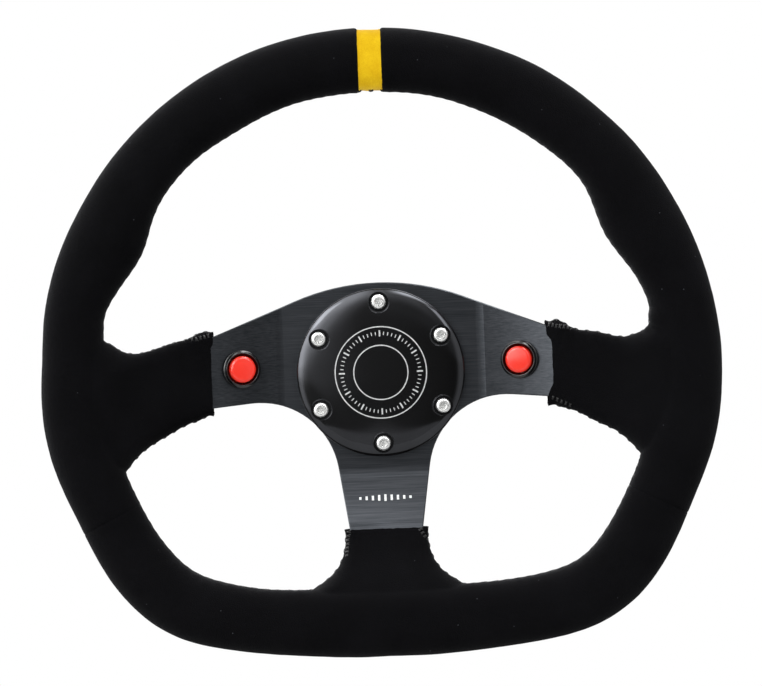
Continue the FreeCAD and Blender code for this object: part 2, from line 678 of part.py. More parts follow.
def oval(half_u, half_v, place):
    """A closed smooth wire on a slightly squared oval; place(u, v) maps it to space."""
    points = []
    for index in range(SECTION_POINTS):
        turn = 2 * math.pi * index / SECTION_POINTS
        u, v = math.cos(turn), math.sin(turn)
        swell = (abs(u) ** RIM_SQUARENESS + abs(v) ** RIM_SQUARENESS) ** (-1 / RIM_SQUARENESS)
        points.append(place(u * swell * half_u, v * swell * half_v))
    curve = Part.BSplineCurve()
    curve.interpolate(points, PeriodicFlag=True)
    return Part.Wire([curve.toShape()])


def slot_wire(half_u, half_v, place):
    """A closed wire of two straight sides and two half circles; place(u, v) maps it to space."""
    straight = half_u - half_v
    edges = []
    for side in (1, -1):
        start, end = place(side * straight, -side * half_v), place(side * straight, side * half_v)
        edges.append(Part.Arc(start, place(side * half_u, 0), end).toShape())
        edges.append(Part.LineSegment(end, place(-side * straight, side * half_v)).toShape())
    return Part.Wire(edges)


def rim_section(angle, outer, inner, half_depth, grow):
    """One cross-section of the rim, on a plane through the hub axis."""
    turn = math.radians(angle)
    middle = (outer + inner) / 2

    def place(u, v):
        radius = middle + u
        return Vector(radius * math.sin(turn), RIM_Y + v, radius * math.cos(turn))
    return oval((outer - inner) / 2 + grow, half_depth + grow, place)


def rim_half(grow):
    """The right half of the rim, as one smooth body cut flat at the middle."""
    before = [(-a, o, i, d) for a, o, i, d in RIM_STATIONS[1:3][::-1]]
    after = [(360 - a, o, i, d) for a, o, i, d in RIM_STATIONS[-3:-1][::-1]]
    wires = [rim_section(*station, grow) for station in before + RIM_STATIONS + after]
    body = Part.makeLoft(wires, True, False)
    return body.common(block(0, BIG, RIM_Y - BIG / 4, RIM_Y + BIG / 4, -BIG, BIG))


def cuff_line(distance, first, last, slope):
    """Y of the middle of a cuff: on the spoke at its open end, near the rim's middle at the other."""
    blend = (distance - first) / (last - first)
    return spoke_line(distance, slope) + (RIM_Y - TIP_MID_Y) * blend ** 2


def side_cuff(grow):
    """The right cuff, from its open end on the spoke into the rim."""
    first, last = SIDE_CUFF_STATIONS[0][0], SIDE_CUFF_STATIONS[-1][0]
    wires = []
    for x, top, bottom, thickness in SIDE_CUFF_STATIONS:
        middle_y = cuff_line(x, first, last, SIDE_SLOPE)
        middle_z = (top + bottom) / 2

        def place(u, v, x=x, middle_y=middle_y, middle_z=middle_z):
            return Vector(x, middle_y + v, middle_z + u)
        wires.append(slot_wire((top - bottom) / 2 + grow, thickness / 2 + grow, place))
    return Part.makeLoft(wires, True, False)


def lower_cuff(grow):
    """The lower cuff, from its open end on the spoke into the rim."""
    first, last = -LOWER_CUFF_STATIONS[0][0], -LOWER_CUFF_STATIONS[-1][0]
    wires = []
    for z, half_width, thickness in LOWER_CUFF_STATIONS:
        middle_y = cuff_line(-z, first, last, LOWER_SLOPE)

        def place(u, v, z=z, middle_y=middle_y):
            return Vector(u, middle_y + v, z)
        wires.append(slot_wire(half_width + grow, thickness / 2 + grow, place))
    return Part.makeLoft(wires, True, False)


def mirrored(shape):
    """The left-hand copy of a right-hand shape."""
    return shape.mirror(Vector(0, 0, 0), Vector(1, 0, 0))


def right_of(x):
    """Everything to the right of a plane across the wheel."""
    return block(x, BIG, -BIG, BIG, -BIG, BIG)


def grip_half(grow):
    """The right half of the rim and its cuffs as one body, grown from the finished size."""
    return rim_half(grow).fuse([side_cuff(grow), lower_cuff(grow).common(right_of(0))])


def sector(angle_from, angle_to):
    """A prism that takes in a sector of the wheel, clockwise from the top."""
    middle = on_circle(BIG, (angle_from + angle_to) / 2)
    corners = [(0, 0), on_circle(BIG, angle_from), middle, on_circle(BIG, angle_to)]
    points = [Vector(x, RIM_Y - BIG / 4, z) for x, z in corners + corners[:1]]
    return Part.Face(Part.makePolygon(points)).extrude(Vector(0, BIG / 2, 0))


def rim_foam():
    """The foam moulded round the bar ring, the rivets and the spoke tips."""
    half = grip_half(-SUEDE_T - GLUE_GAP)
    return half.fuse(mirrored(half)).cut([spoke_plate(), rim_core()] + spoke_rivets())


def suede_panels():
    """The left, right and lower suede panels, each a skin round the foam."""
    skin = grip_half(0).cut(grip_half(-SUEDE_T))
    seam = math.degrees(SEAM_GAP / 2 / CORE_CENTRE_R)
    right = skin.common(sector(0, SEAM_ANGLE - seam)).common(right_of(STRIPE_WIDTH / 2))
    lower = skin.common(sector(SEAM_ANGLE + seam, 180))
    return {"suede_left": mirrored(right), "suede_right": right, "suede_lower": lower.fuse(mirrored(lower))}


def centre_stripe():
    """The narrow coloured band at the top, sunk a little between the suede panels."""
    half = rim_half(-STRIPE_RECESS).cut(rim_half(-SUEDE_T))
    edge = STRIPE_WIDTH / 2 - SEAM_GAP
    half = half.common(block(0, edge, -BIG, BIG, 0, BIG))
    return half.fuse(mirrored(half))


# ----------------------------------------------------------------------------------------- buttons

def at_button(shape, side):
    """Move a shape made about the hub axis, driver's side at negative Y, onto a side spoke."""
    lean = math.radians(SIDE_SLOPE)
    face_y = spoke_line(BUTTON_X, SIDE_SLOPE) - PLATE_T / 2 / math.cos(lean)
    moved = shape.copy()
    moved.rotate(Vector(0, 0, 0), Vector(0, 0, 1), -side * SIDE_SLOPE)
    moved.translate(Vector(side * BUTTON_X, face_y, BUTTON_Z))
    return moved


def button_pieces():
    """The pieces of one push button about the hub axis, with the spoke's face at y = 0."""
    bore_r = CAP_R + CAP_CLEARANCE
    seal_y = -SEAL_T
    rim_y = seal_y - BEZEL_RIM_H
    lip_y = rim_y - BEZEL_CONE_H
    foot_y = BUTTON_BARREL_DEPTH
    web_y = WEB_DEPTH
    web_back_y = web_y + WEB_T
    housing = turned([
        (bore_r, lip_y), (BEZEL_LIP_R, lip_y), (BEZEL_R, rim_y), (BEZEL_R, seal_y), (BARREL_R, seal_y),
        (BARREL_R, foot_y), (bore_r, foot_y), (bore_r, web_back_y), (STEM_R + STEM_CLEARANCE, web_back_y),
        (STEM_R + STEM_CLEARANCE, web_y), (bore_r, web_y),
    ])
    seal_in = BARREL_R + BUTTON_HOLE_CLEARANCE
    seal = rod(SEAL_R, 0, seal_y).cut(rod(seal_in, 0, seal_y))
    contact_y = web_back_y + CONTACT_GAP
    face = [(CAP_R * share, lip_y - CAP_HEIGHT + drop) for share, drop in CAP_PROFILE]
    cap = turned(face + [(CAP_R, CAP_SKIRT_DEPTH), (STEM_R, CAP_SKIRT_DEPTH), (STEM_R, contact_y),
                         (0, contact_y)])
    contact_back_y = contact_y + CONTACT_T
    contact = rod(CONTACT_R, contact_y, contact_back_y)
    meet_y = contact_back_y + BUTTON_TRAVEL + CONTACT_MEET_CLEARANCE
    base_y = meet_y + TERMINAL_STAND
    base_back_y = base_y + BASE_T
    base = rod(bore_r - BASE_CLEARANCE, base_y, base_back_y)
    terminals = []
    for place in (-1, 1):
        middle = place * TERMINAL_PITCH / 2
        blade = block(-TERMINAL_WIDTH / 2, TERMINAL_WIDTH / 2, meet_y, base_back_y + TERMINAL_REACH,
                      middle - TERMINAL_T / 2, middle + TERMINAL_T / 2)
        terminals.append(blade)
    nut = hexagon(NUT_FLATS, PLATE_T, PLATE_T + NUT_T).cut(rod(BARREL_R + BASE_CLEARANCE, PLATE_T, PLATE_T + NUT_T))
    spring = coil(BUTTON_SPRING_R, BUTTON_SPRING_WIRE_R, CAP_SKIRT_DEPTH, web_y, BUTTON_SPRING_TURNS)
    return {
        "cap": cap, "housing": housing, "seal": seal, "nut": nut, "spring": spring, "contact": contact,
        "base": base.cut(terminals), "terminals": Part.makeCompound(terminals),
    }


# --------------------------------------------------------------------------------------- write nodes

def main():
    """Make every node of the wheel."""
    save("column_hub", column_hub())
    save("release_body", release_body())
    save("release_collar", release_collar())
    save("release_spring", release_spring())
    save("snap_ring", snap_ring())
    for index in range(BALL_COUNT):
        save(f"locking_ball_{index + 1}", locking_ball(index))
    save("spoke_plate", spoke_plate())
    save("rim_core", rim_core())
    save("spoke_rivets", Part.makeCompound(spoke_rivets()))
    save("cover_plate", cover_plate())
    save("cover_screws", cover_screws())
    for side, word in ((-1, "left"), (1, "right")):
        for piece, shape in button_pieces().items():
            save(f"button_{piece}_{word}", at_button(shape, side))
    save("rim_foam", rim_foam())
    for name, panel in suede_panels().items():
        save(name, panel)
    save("centre_stripe", centre_stripe())


main()
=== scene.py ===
"""Looks of a quick release steering wheel: a suede grip, brushed spokes, push buttons and a ball-lock hub."""

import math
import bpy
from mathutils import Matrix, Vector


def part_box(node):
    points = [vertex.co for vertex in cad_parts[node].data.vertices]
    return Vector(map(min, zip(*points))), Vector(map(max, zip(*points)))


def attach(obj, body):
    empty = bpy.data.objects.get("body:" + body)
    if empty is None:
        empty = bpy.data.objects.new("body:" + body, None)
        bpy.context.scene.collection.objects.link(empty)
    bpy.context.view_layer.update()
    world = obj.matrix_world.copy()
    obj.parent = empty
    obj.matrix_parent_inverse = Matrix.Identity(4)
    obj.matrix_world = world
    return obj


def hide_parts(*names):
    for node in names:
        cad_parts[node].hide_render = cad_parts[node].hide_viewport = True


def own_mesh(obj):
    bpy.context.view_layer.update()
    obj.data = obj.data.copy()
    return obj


bl_info = {
    "name": "Quick Release Steering Wheel",
    "version": (1, 0, 0),
    "blender": (4, 5, 0),
    "location": "View3D > Sidebar > Wheel",
    "description": "Dresses the packed steering wheel: skins, stitches, printed dial, finishes and the stage",
    "category": "Add Mesh",
}

import bmesh
import bpy
from mathutils import Matrix, Vector, noise
from mathutils.bvhtree import BVHTree
from mathutils.kdtree import KDTree

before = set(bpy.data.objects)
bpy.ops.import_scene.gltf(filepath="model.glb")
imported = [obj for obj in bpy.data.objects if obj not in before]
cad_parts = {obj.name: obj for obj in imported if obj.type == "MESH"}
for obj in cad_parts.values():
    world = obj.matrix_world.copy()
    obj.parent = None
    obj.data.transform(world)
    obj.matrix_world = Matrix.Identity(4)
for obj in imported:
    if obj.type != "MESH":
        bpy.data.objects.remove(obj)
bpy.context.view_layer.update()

MM = 0.001

# Places read from the frame: the cover, the spoke sheet, the rim's core, the screws and the release spring,
# in metres
COVER_LOW, COVER_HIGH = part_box("cover_plate")
COVER_R = COVER_HIGH.x
COVER_FRONT_Y = COVER_LOW.y
PLATE_FRONT_Y = COVER_HIGH.y
RIM_Y = (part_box("rim_core")[0].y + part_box("rim_core")[1].y) / 2
SCREW_FRONT_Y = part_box("cover_screws")[0].y
SCREW_BACK_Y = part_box("cover_screws")[1].y
RELEASE_SPRING_LOW, RELEASE_SPRING_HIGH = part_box("release_spring")

# Sizes that the pieces here share with the solids, in metres and radians
BOLT_CIRCLE_R = 35 * MM
BOLT_COUNT = 6
BALL_COUNT = 6
PLATE_T = 4 * MM
BEND_START = 50 * MM
SIDE_SLOPE = math.radians(16)
LOWER_SLOPE = math.radians(22.2)
SIDE_CUFF_END = 82 * MM
LOWER_CUFF_END = 75.3 * MM
SEAM_ANGLE = math.radians(116.5)
STRIPE_HALF_WIDTH = 5.45 * MM
BUTTON_X = 68.8 * MM
BUTTON_Z = 4 * MM
SCREW_HEAD_H = 3.5 * MM
SCREW_HOLE_R = 2.65 * MM

# Seats of a button's spring behind the spoke's face: the cap's skirt, and the web in the housing
BUTTON_SPRING_FRONT = 3 * MM
BUTTON_WEB = 8 * MM

# The grip is a cuff within this distance of a spoke's middle line, and the lower cuff lies below this Z
CUFF_ZONE = 45 * MM
LOWER_CUFF_TOP = -60 * MM
# A side cuff's upper and lower edge, and how far from its end its outline is trimmed
CUFF_UPPER_EDGE = 22 * MM
CUFF_LOWER_EDGE = 19 * MM
CUFF_TRIM_REACH = 45 * MM
# A seam runs along the grip's inner edge, so it stays within this radius and is longer than this
INNER_EDGE_R = 146 * MM
SHORTEST_SEAM = 60 * MM
# How high the skin bunches up beside a seam, and the height and size of the bulges of a hand wrap
BUNCH_HEIGHT = 0.16 * MM
WRAP_BULGES = [(0.22 * MM, 24 * MM), (0.07 * MM, 6 * MM)]

# Start and end of the tight finishing stitches near the cuffs' corners, in front of the skin
CUFF_BRAIDS = [
    ((-0.0190, -0.2, -0.0775), (-0.0200, -0.2, -0.0885)),
    ((0.0165, -0.2, -0.0775), (0.0200, -0.2, -0.0825)),
    ((-0.0840, -0.2, 0.0210), (-0.0925, -0.2, 0.0195)),
    ((0.0835, -0.2, 0.0205), (0.0945, -0.2, 0.0185)),
    ((0.0840, -0.2, -0.0155), (0.0925, -0.2, -0.0195)),
]

# Side (1 right), edge (1 upper), distance from the cuff's end, width and outward move of each place where
# the side cuffs' outline was pulled in or left full when the suede was sewn up
CUFF_TRIMS = [
    (-1, 1, 1.8 * MM, 5 * MM, -3.4 * MM),
    (-1, 1, 17 * MM, 6 * MM, 2.3 * MM),
    (-1, -1, 2 * MM, 5 * MM, -2.1 * MM),
    (1, 1, 1.5 * MM, 4.8 * MM, -4.4 * MM),
    (1, -1, 2 * MM, 4 * MM, -1.2 * MM),
    (1, -1, 21 * MM, 10 * MM, 1.0 * MM),
]

# Middle X and Z, width, and the move in X and Z of each place at a side cuff's root where the sewn skin
# is drawn rounder or tighter than the solid
ROOT_MOVES = [
    (133.2 * MM, 21.5 * MM, 4.5 * MM, -2.4 * MM, 0.0),
    (129.5 * MM, 18.0 * MM, 4.5 * MM, 0.0, -1.8 * MM),
    (-132.7 * MM, 32.7 * MM, 9 * MM, -1.7 * MM, 0.0),
    (-129.8 * MM, 11.0 * MM, 5 * MM, 0.0, -4.0 * MM),
]

# Where the stretched rim leaves the round of the solid: degrees clockwise from the top as seen in front,
# then distance from the middle, width and outward move in millimetres
RIM_MIDDLE_Z = 10.8 * MM
RIM_MOVES = [
    (18, 142, 38, -1.0), (45, 142, 38, -1.0), (72, 145, 38, -1.0), (110, 130, 12, -1.4),
    (-9, 128, 18, -1.1), (6, 127, 18, -0.8), (-42, 129, 14, 0.8), (-60, 130, 15, 1.7), (-77, 135, 14, 0.9),
    (-90, 164, 18, -1.3), (-125, 140, 25, 1.0), (-155, 124, 20, 0.7),
]

# The studio that gloss sees, by the direction it is seen in: a room with a dim level of its own, a big soft
# box at the upper left, and a table below, whose edge is highest in the middle and leans down to the sides
ROOM_LEVEL = 0.05
SOFT_BOX_WAY = (-0.62, -0.45, 0.64)
TABLE_LEAN = 0.7
# Each lamp, card or wall is the product of soft steps: what the step follows, where it starts and ends, and
# how bright it gets
STUDIO_LIGHTS = {
    "left_half_of_room": [("X", 0.08, 0.0, 0.07)],
    "left_box": [("X", -0.24, -0.7, 1.7), ("Z", -0.12, 0.0, 1.0)],
    "far_left": [("X", -0.5, -0.8, 1.8)],
    "right_box": [("X", 0.4, 0.75, 0.85)],
    "top_box": [("Z", 0.12, 0.6, 0.85), ("X", 0.5, 0.25, 1.0)],
    # A narrow lamp at the upper right draws a bright line on edges that lean that way
    "edge_lamp": [("X", 0.08, 0.3, 1.0), ("Z", 0.66, 0.84, 11.0)],
    "card": [("X", -0.02, -0.07, 0.5), ("Z", -0.06, -0.02, 1.0)],
    "screen": [("X", -0.03, -0.2, 2.2), ("Z", -0.03, 0.12, 1.0)],
    "table": [("table", -0.078, -0.09, 0.7)],
    "wall": [("Z", 0.03, 0.09, 0.2), ("X", -0.05, 0.05, 1.0)],
    # Strong enough to draw crescents and to haze a satin coat
    "soft_box": [("soft_box", 0.66, 0.95, 1.75)],
}

# How bright the white room is for matt skins, and how much of the floor's white is its own to the camera
MATT_LEVEL = 0.78
FLOOR_GLOW = 0.7


# ------------------------------------------------------------------------------------ small helpers

def srgb(code):
    """A linear RGBA colour from an sRGB hex code such as #2B2D31."""
    channels = [int(code[place:place + 2], 16) / 255 for place in (1, 3, 5)]
    linear = [c / 12.92 if c <= 0.04045 else ((c + 0.055) / 1.055) ** 2.4 for c in channels]
    return (*linear, 1.0)


def add_node(tree, kind, settings=None, inputs=None):
    """Add a node; inputs maps a socket's name or number to a value or to another node's output."""
    node = tree.nodes.new(kind)
    for key, value in (settings or {}).items():
        setattr(node, key, value)
    for key, value in (inputs or {}).items():
        if isinstance(value, bpy.types.NodeSocket):
            tree.links.new(value, node.inputs[key])
        else:
            node.inputs[key].default_value = value
    return node


def per_metre(size):
    """The scale that gives a pattern features of about this real size, in metres."""
    return 1.0 / size


def new_material(name, values):
    """A material with one Principled shader; values are set on the shader's own sockets."""
    material = bpy.data.materials.new(name)
    material.use_nodes = True
    tree = material.node_tree
    tree.nodes.clear()
    shader = add_node(tree, "ShaderNodeBsdfPrincipled", inputs=values)
    add_node(tree, "ShaderNodeOutputMaterial", inputs={"Surface": shader.outputs["BSDF"]})
    return material, tree, shader


def pattern_place(tree, stretch=(1, 1, 1)):
    """Object coordinates in metres, stretched for a pattern."""
    source = add_node(tree, "ShaderNodeTexCoord")
    mapping = add_node(tree, "ShaderNodeMapping", inputs={
        "Vector": source.outputs["Object"], "Scale": stretch})
    return mapping.outputs["Vector"]


def grain(tree, size, detail=3.0, roughness=0.55, stretch=(1, 1, 1)):
    """A cloudy pattern over a piece, from 0 to 1, with features of a real size."""
    texture = add_node(tree, "ShaderNodeTexNoise", inputs={
        "Vector": pattern_place(tree, stretch), "Scale": per_metre(size), "Detail": detail,
        "Roughness": roughness})
    return texture.outputs["Fac"]


def rgba(colour):
    """A linear RGBA colour from a hex code or from a colour setting."""
    return srgb(colour) if isinstance(colour, str) else (*colour, 1)


def drive(tree, shader, tones, roughness=None, bump=None):
    """Let patterns of 0 to 1 drive a shader's own sockets; returns the colour.

    tones is (pattern, start, dark, end, light), roughness is (pattern, low, high), and bump is (pattern,
    depth) with the depth in metres.
    """
    pattern, start, dark, end, light = tones
    blend = add_node(tree, "ShaderNodeValToRGB", inputs={"Fac": pattern})
    for element, position, colour in zip(blend.color_ramp.elements, (start, end), (dark, light)):
        element.position = position
        element.color = rgba(colour)
    tree.links.new(blend.outputs["Color"], shader.inputs["Base Color"])
    if roughness:
        pattern, low, high = roughness
        varied = add_node(tree, "ShaderNodeMapRange", inputs={
            "Value": pattern, "To Min": low, "To Max": high})
        tree.links.new(varied.outputs["Result"], shader.inputs["Roughness"])
    if bump:
        pattern, depth = bump
        raised = add_node(tree, "ShaderNodeBump", inputs={"Height": pattern, "Distance": depth})
        tree.links.new(raised.outputs["Normal"], shader.inputs["Normal"])
    return blend.outputs["Color"]


def dress(name, material):
    """Give a node of the frame a material."""
    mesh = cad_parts[name].data
    mesh.materials.clear()
    mesh.materials.append(material)


def new_piece(name, mesh, material, body, replaced=()):
    """A finished piece at the origin that rides on a body and stands for nodes of the frame."""
    piece = bpy.data.objects.new(name, mesh)
    bpy.context.scene.collection.objects.link(piece)
    mesh.materials.clear()
    mesh.materials.append(material)
    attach(piece, body)
    if replaced:
        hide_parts(*replaced)
    return piece


def mesh_of(bm, name):
    """A mesh from a bmesh, which is freed."""
    mesh = bpy.data.meshes.new(name)
    bm.to_mesh(mesh)
    bm.free()
    return mesh


def shade(mesh, angle=30.0):
    """Smooth shading with edges sharper than the angle kept crisp."""
    mesh.shade_smooth()
    mesh.set_sharp_from_angle(angle=math.radians(angle))
    return mesh


def scratch(mesh):
    """A temporary object that holds a mesh for modifiers."""
    holder = bpy.data.objects.new("scratch", mesh)
    bpy.context.scene.collection.objects.link(holder)
    return holder


def settled(holder):
    """The evaluated mesh of a temporary object, which is removed."""
    depsgraph = bpy.context.evaluated_depsgraph_get()
    mesh = bpy.data.meshes.new_from_object(holder.evaluated_get(depsgraph), depsgraph=depsgraph)
    bpy.data.objects.remove(holder)
    return mesh


def arc(centre, radius, start, end, steps):
    """Points of an arc in a (radius, y) profile, angles in degrees from the +radius direction."""
    points = []
    for step in range(steps + 1):
        turn = math.radians(start + (end - start) * step / steps)
        points.append((centre[0] + radius * math.cos(turn), centre[1] + radius * math.sin(turn)))
    return points


def lathe(profile, segments, closed=False):
    """A bmesh turned about the Y axis from (radius, y) points; a closed profile makes a ring."""
    bm = bmesh.new()
    rings = []
    for radius, y in profile:
        if radius < 1e-7:
            rings.append([bm.verts.new((0, y, 0))])
            continue
        turns = [2 * math.pi * step / segments for step in range(segments)]
        rings.append([bm.verts.new((radius * math.sin(t), y, radius * math.cos(t))) for t in turns])
    pairs = list(zip(rings, rings[1:]))
    if closed:
        pairs.append((rings[-1], rings[0]))
    for first, second in pairs:
        for step in range(segments):
            after = (step + 1) % segments
            corners = [first[step % len(first)], first[after % len(first)],
                       second[after % len(second)], second[step % len(second)]]
            unique = list(dict.fromkeys(corners))
            if len(unique) > 2:
                bm.faces.new(unique)
    bmesh.ops.recalc_face_normals(bm, faces=bm.faces)
    return bm


def carve(mesh, cutter):
    """A mesh with another mesh cut out of it."""
    body, tool = scratch(mesh), scratch(cutter)
    cut = body.modifiers.new("cut", "BOOLEAN")
    cut.operation = "DIFFERENCE"
    cut.solver = "EXACT"
    cut.object = tool
    result = settled(body)
    bpy.data.objects.remove(tool)
    return result


def geometry_tree(name, sockets):
    """A Geometry Nodes tree with a geometry in and out and named inputs; returns tree, input, output."""
    tree = bpy.data.node_groups.new(name, "GeometryNodeTree")
    tree.interface.new_socket(name="Geometry", in_out="INPUT", socket_type="NodeSocketGeometry")
    for label, kind in sockets.items():
        tree.interface.new_socket(name=label, in_out="INPUT", socket_type=kind)
    tree.interface.new_socket(name="Geometry", in_out="OUTPUT", socket_type="NodeSocketGeometry")
    return tree, add_node(tree, "NodeGroupInput"), add_node(tree, "NodeGroupOutput")


def close_tree(tree, output, geometry, inputs):
    """End a tree in Realize Instances and Set Material."""
    realize = add_node(tree, "GeometryNodeRealizeInstances", inputs={"Geometry": geometry})
    finish = add_node(tree, "GeometryNodeSetMaterial", inputs={
        "Geometry": realize.outputs["Geometry"], "Material": inputs.outputs["Material"]})
    tree.links.new(finish.outputs["Geometry"], output.inputs["Geometry"])


def grow(mesh, tree, values):
    """Run a tree on a mesh with inputs by name, and return the plain mesh that comes out."""
    holder = scratch(mesh)
    modifier = holder.modifiers.new(tree.name, "NODES")
    modifier.node_group = tree
    for item in tree.interface.items_tree:
        if item.in_out == "INPUT" and item.name in values:
            modifier[item.identifier] = values[item.name]
    return settled(holder)


def smooth_step(value):
    """0 below 0, 1 above 1 and a soft rise between."""
    value = min(1.0, max(0.0, value))
    return value * value * (3 - 2 * value)


# ---------------------------------------------------------------------------------------- materials

def nap_pattern(tree, patch, fibre, share):
    """Brushed patches of nap mixed with a share of fibres; returns the mix and the fibres."""
    patches = grain(tree, patch, 2.0)
    fibres = grain(tree, fibre, 4.0, 0.7)
    nap = add_node(tree, "ShaderNodeMix", {"data_type": "FLOAT"}, {0: share, 2: patches, 3: fibres})
    return nap.outputs[0], fibres


def suede_finish(settings):
    """Black suede: a napped, matt skin whose fibres catch light only at grazing angles."""
    material, tree, shader = new_material("black_suede", {
        "Roughness": 0.95, "Specular IOR Level": 0.06,
        "Sheen Weight": settings.sheen, "Sheen Roughness": 0.45, "Sheen Tint": srgb("#8C8E94")})
    # Hand-brushed patches of nap are about as wide as a finger. Single fibres are 0.1 mm; they are drawn at
    # 0.7 mm, so that they show
    nap, fibres = nap_pattern(tree, 26 * MM, 0.7 * MM, 0.4)
    colour = drive(tree, shader, (nap, 0.36, settings.dark, 0.66, settings.light), bump=(fibres, 0.25 * MM))
    # Stray lint: sparse pale specks about 0.5 mm across
    lint = add_node(tree, "ShaderNodeTexVoronoi", {"feature": "F1"}, {
        "Vector": pattern_place(tree), "Scale": per_metre(9 * MM)})
    speck = add_node(tree, "ShaderNodeMath", {"operation": "LESS_THAN"}, {
        0: lint.outputs["Distance"], 1: settings.lint})
    mixed = add_node(tree, "ShaderNodeMix", {"data_type": "RGBA"}, {
        0: speck.outputs[0], 6: colour, 7: srgb("#4A4B50")})
    tree.links.new(mixed.outputs[2], shader.inputs["Base Color"])
    return material


def band_finish(settings):
    """Yellow suede band: the same napped skin, dyed."""
    material, tree, shader = new_material("yellow_suede", {
        "Roughness": 0.88, "Specular IOR Level": 0.1, "Sheen Weight": 0.12, "Sheen Roughness": 0.4})
    nap, fibres = nap_pattern(tree, 9 * MM, 0.8 * MM, 0.45)
    drive(tree, shader, (nap, 0.34, settings.dark, 0.62, settings.light), bump=(fibres, 0.2 * MM))
    return material


def thread_finish(settings):
    """Waxed polyester thread: twisted strands, with short pale glints painted into its colour along the
    strands and in loose patches.
    """
    material, tree, shader = new_material("waxed_thread", {
        "Roughness": 0.6, "Specular IOR Level": 0.25, "Sheen Weight": 0.1, "Sheen Tint": srgb("#808080")})
    wave = add_node(tree, "ShaderNodeTexWave", {"bands_direction": "DIAGONAL"}, {
        "Vector": pattern_place(tree), "Scale": per_metre(3.2 * MM), "Distortion": 1.0})
    strands = wave.outputs["Fac"]
    glint_patches = grain(tree, 4 * MM, 2.0)
    mixed = add_node(tree, "ShaderNodeMix", {"data_type": "FLOAT"}, {0: 0.5, 2: strands, 3: glint_patches})
    # Painted highlight: the colour runs from the thread's own dark to pale wax glints, painted along the
    # strands and in loose patches
    drive(tree, shader, (mixed.outputs[0], 0.45, settings.thread_dark, 0.85, settings.thread_painted_glint),
          bump=(strands, 0.12 * MM))
    return material


def foam_finish():
    """Moulded polyurethane foam: a fine-celled, dull black skin."""
    material, tree, shader = new_material("moulded_foam", {"Roughness": 0.9, "Specular IOR Level": 0.25})
    texture = add_node(tree, "ShaderNodeTexVoronoi", {"feature": "SMOOTH_F1"}, {
        "Vector": pattern_place(tree), "Scale": per_metre(0.8 * MM)})
    cells = texture.outputs["Distance"]
    drive(tree, shader, (cells, 0.1, "#0E0E0F", 0.7, "#1D1D1F"), bump=(cells, 0.15 * MM))
    return material


def brushed_finish(settings):
    """Brushed, black anodised aluminium sheet: fine level scratches that stretch reflections."""
    material, tree, shader = new_material("brushed_anodised_aluminium", {
        "Metallic": 0.7, "Specular IOR Level": 0.1, "Anisotropic": 0.35})
    # Brush lines run across the wheel, tens of millimetres long and drawn 0.5 mm apart
    lines = grain(tree, 0.5 * MM, 5.0, 0.65, stretch=(0.02, 0.5, 1.0))
    broad = grain(tree, 3.5 * MM, stretch=(0.06, 0.5, 1.0))
    mixed = add_node(tree, "ShaderNodeMix", {"data_type": "FLOAT"}, {0: 0.2, 2: lines, 3: broad})
    drive(tree, shader, (mixed.outputs[0], 0.3, settings.sheet_dark, 0.7, settings.sheet_light),
          roughness=(lines, settings.roughness - 0.06, settings.roughness + 0.08))
    curve = add_node(tree, "ShaderNodeBump", inputs={
        "Height": pressed_curve(tree, settings), "Distance": 1.0})
    scratches = add_node(tree, "ShaderNodeBump", inputs={
        "Height": lines, "Distance": 0.02 * MM, "Normal": curve.outputs["Normal"]})
    tree.links.new(scratches.outputs["Normal"], shader.inputs["Normal"])
    return material


def pressed_curve(tree, settings):
    """Height in metres of the slow curve that pressing leaves in each spoke between its bend and its cuff."""
    place = add_node(tree, "ShaderNodeTexCoord")
    axes = add_node(tree, "ShaderNodeSeparateXYZ", inputs={"Vector": place.outputs["Object"]})
    across = add_node(tree, "ShaderNodeMath", {"operation": "ABSOLUTE"}, {0: axes.outputs["X"]})
    down = add_node(tree, "ShaderNodeMath", {"operation": "MULTIPLY"}, {0: axes.outputs["Z"], 1: -1.0})
    heights = []
    for distance, end in ((across, SIDE_CUFF_END), (down, LOWER_CUFF_END)):
        start, reach = BEND_START + 2 * MM, end + 3 * MM
        share = add_node(tree, "ShaderNodeMapRange", {"clamp": True}, {
            "Value": distance.outputs[0], "From Min": start, "From Max": reach}).outputs["Result"]
        squared = add_node(tree, "ShaderNodeMath", {"operation": "MULTIPLY"}, {0: share, 1: share})
        bow = add_node(tree, "ShaderNodeMath", {"operation": "SUBTRACT"}, {0: squared.outputs[0], 1: share})
        heights.append(add_node(tree, "ShaderNodeMath", {"operation": "MULTIPLY"}, {
            0: bow.outputs[0], 1: math.tan(settings.bow) * (reach - start)}))
    both = add_node(tree, "ShaderNodeMath", {"operation": "ADD"}, {
        0: heights[0].outputs[0], 1: heights[1].outputs[0]})
    return both.outputs[0]


def cover_finish(settings):
    """Turned, polished and black anodised aluminium: near-mirror black under a faintly hazy seal."""
    material, tree, shader = new_material("polished_anodised_aluminium", {
        "Metallic": 1.0, "Coat Weight": 0.22, "Coat Roughness": 0.36})
    haze = grain(tree, 14 * MM)
    rings = add_node(tree, "ShaderNodeTexWave", {"wave_type": "RINGS", "rings_direction": "Y"}, {
        "Vector": pattern_place(tree), "Scale": per_metre(3 * MM), "Distortion": 0.4, "Detail": 2.0})
    hazed = [channel * 0.8 for channel in settings.face]
    drive(tree, shader, (haze, 0.3, hazed, 0.7, settings.face),
          roughness=(haze, settings.roughness * 0.85, settings.roughness * 1.15),
          bump=(rings.outputs["Fac"], 0.003 * MM))
    return material


def print_finish():
    """Silver screen print: flat metallic ink with fine mottling."""
    material, tree, shader = new_material("silver_print", {"Metallic": 0.35, "Roughness": 0.42})
    drive(tree, shader, (grain(tree, 0.9 * MM), 0.3, "#B9BABB", 0.7, "#DDDEDE"))
    return material


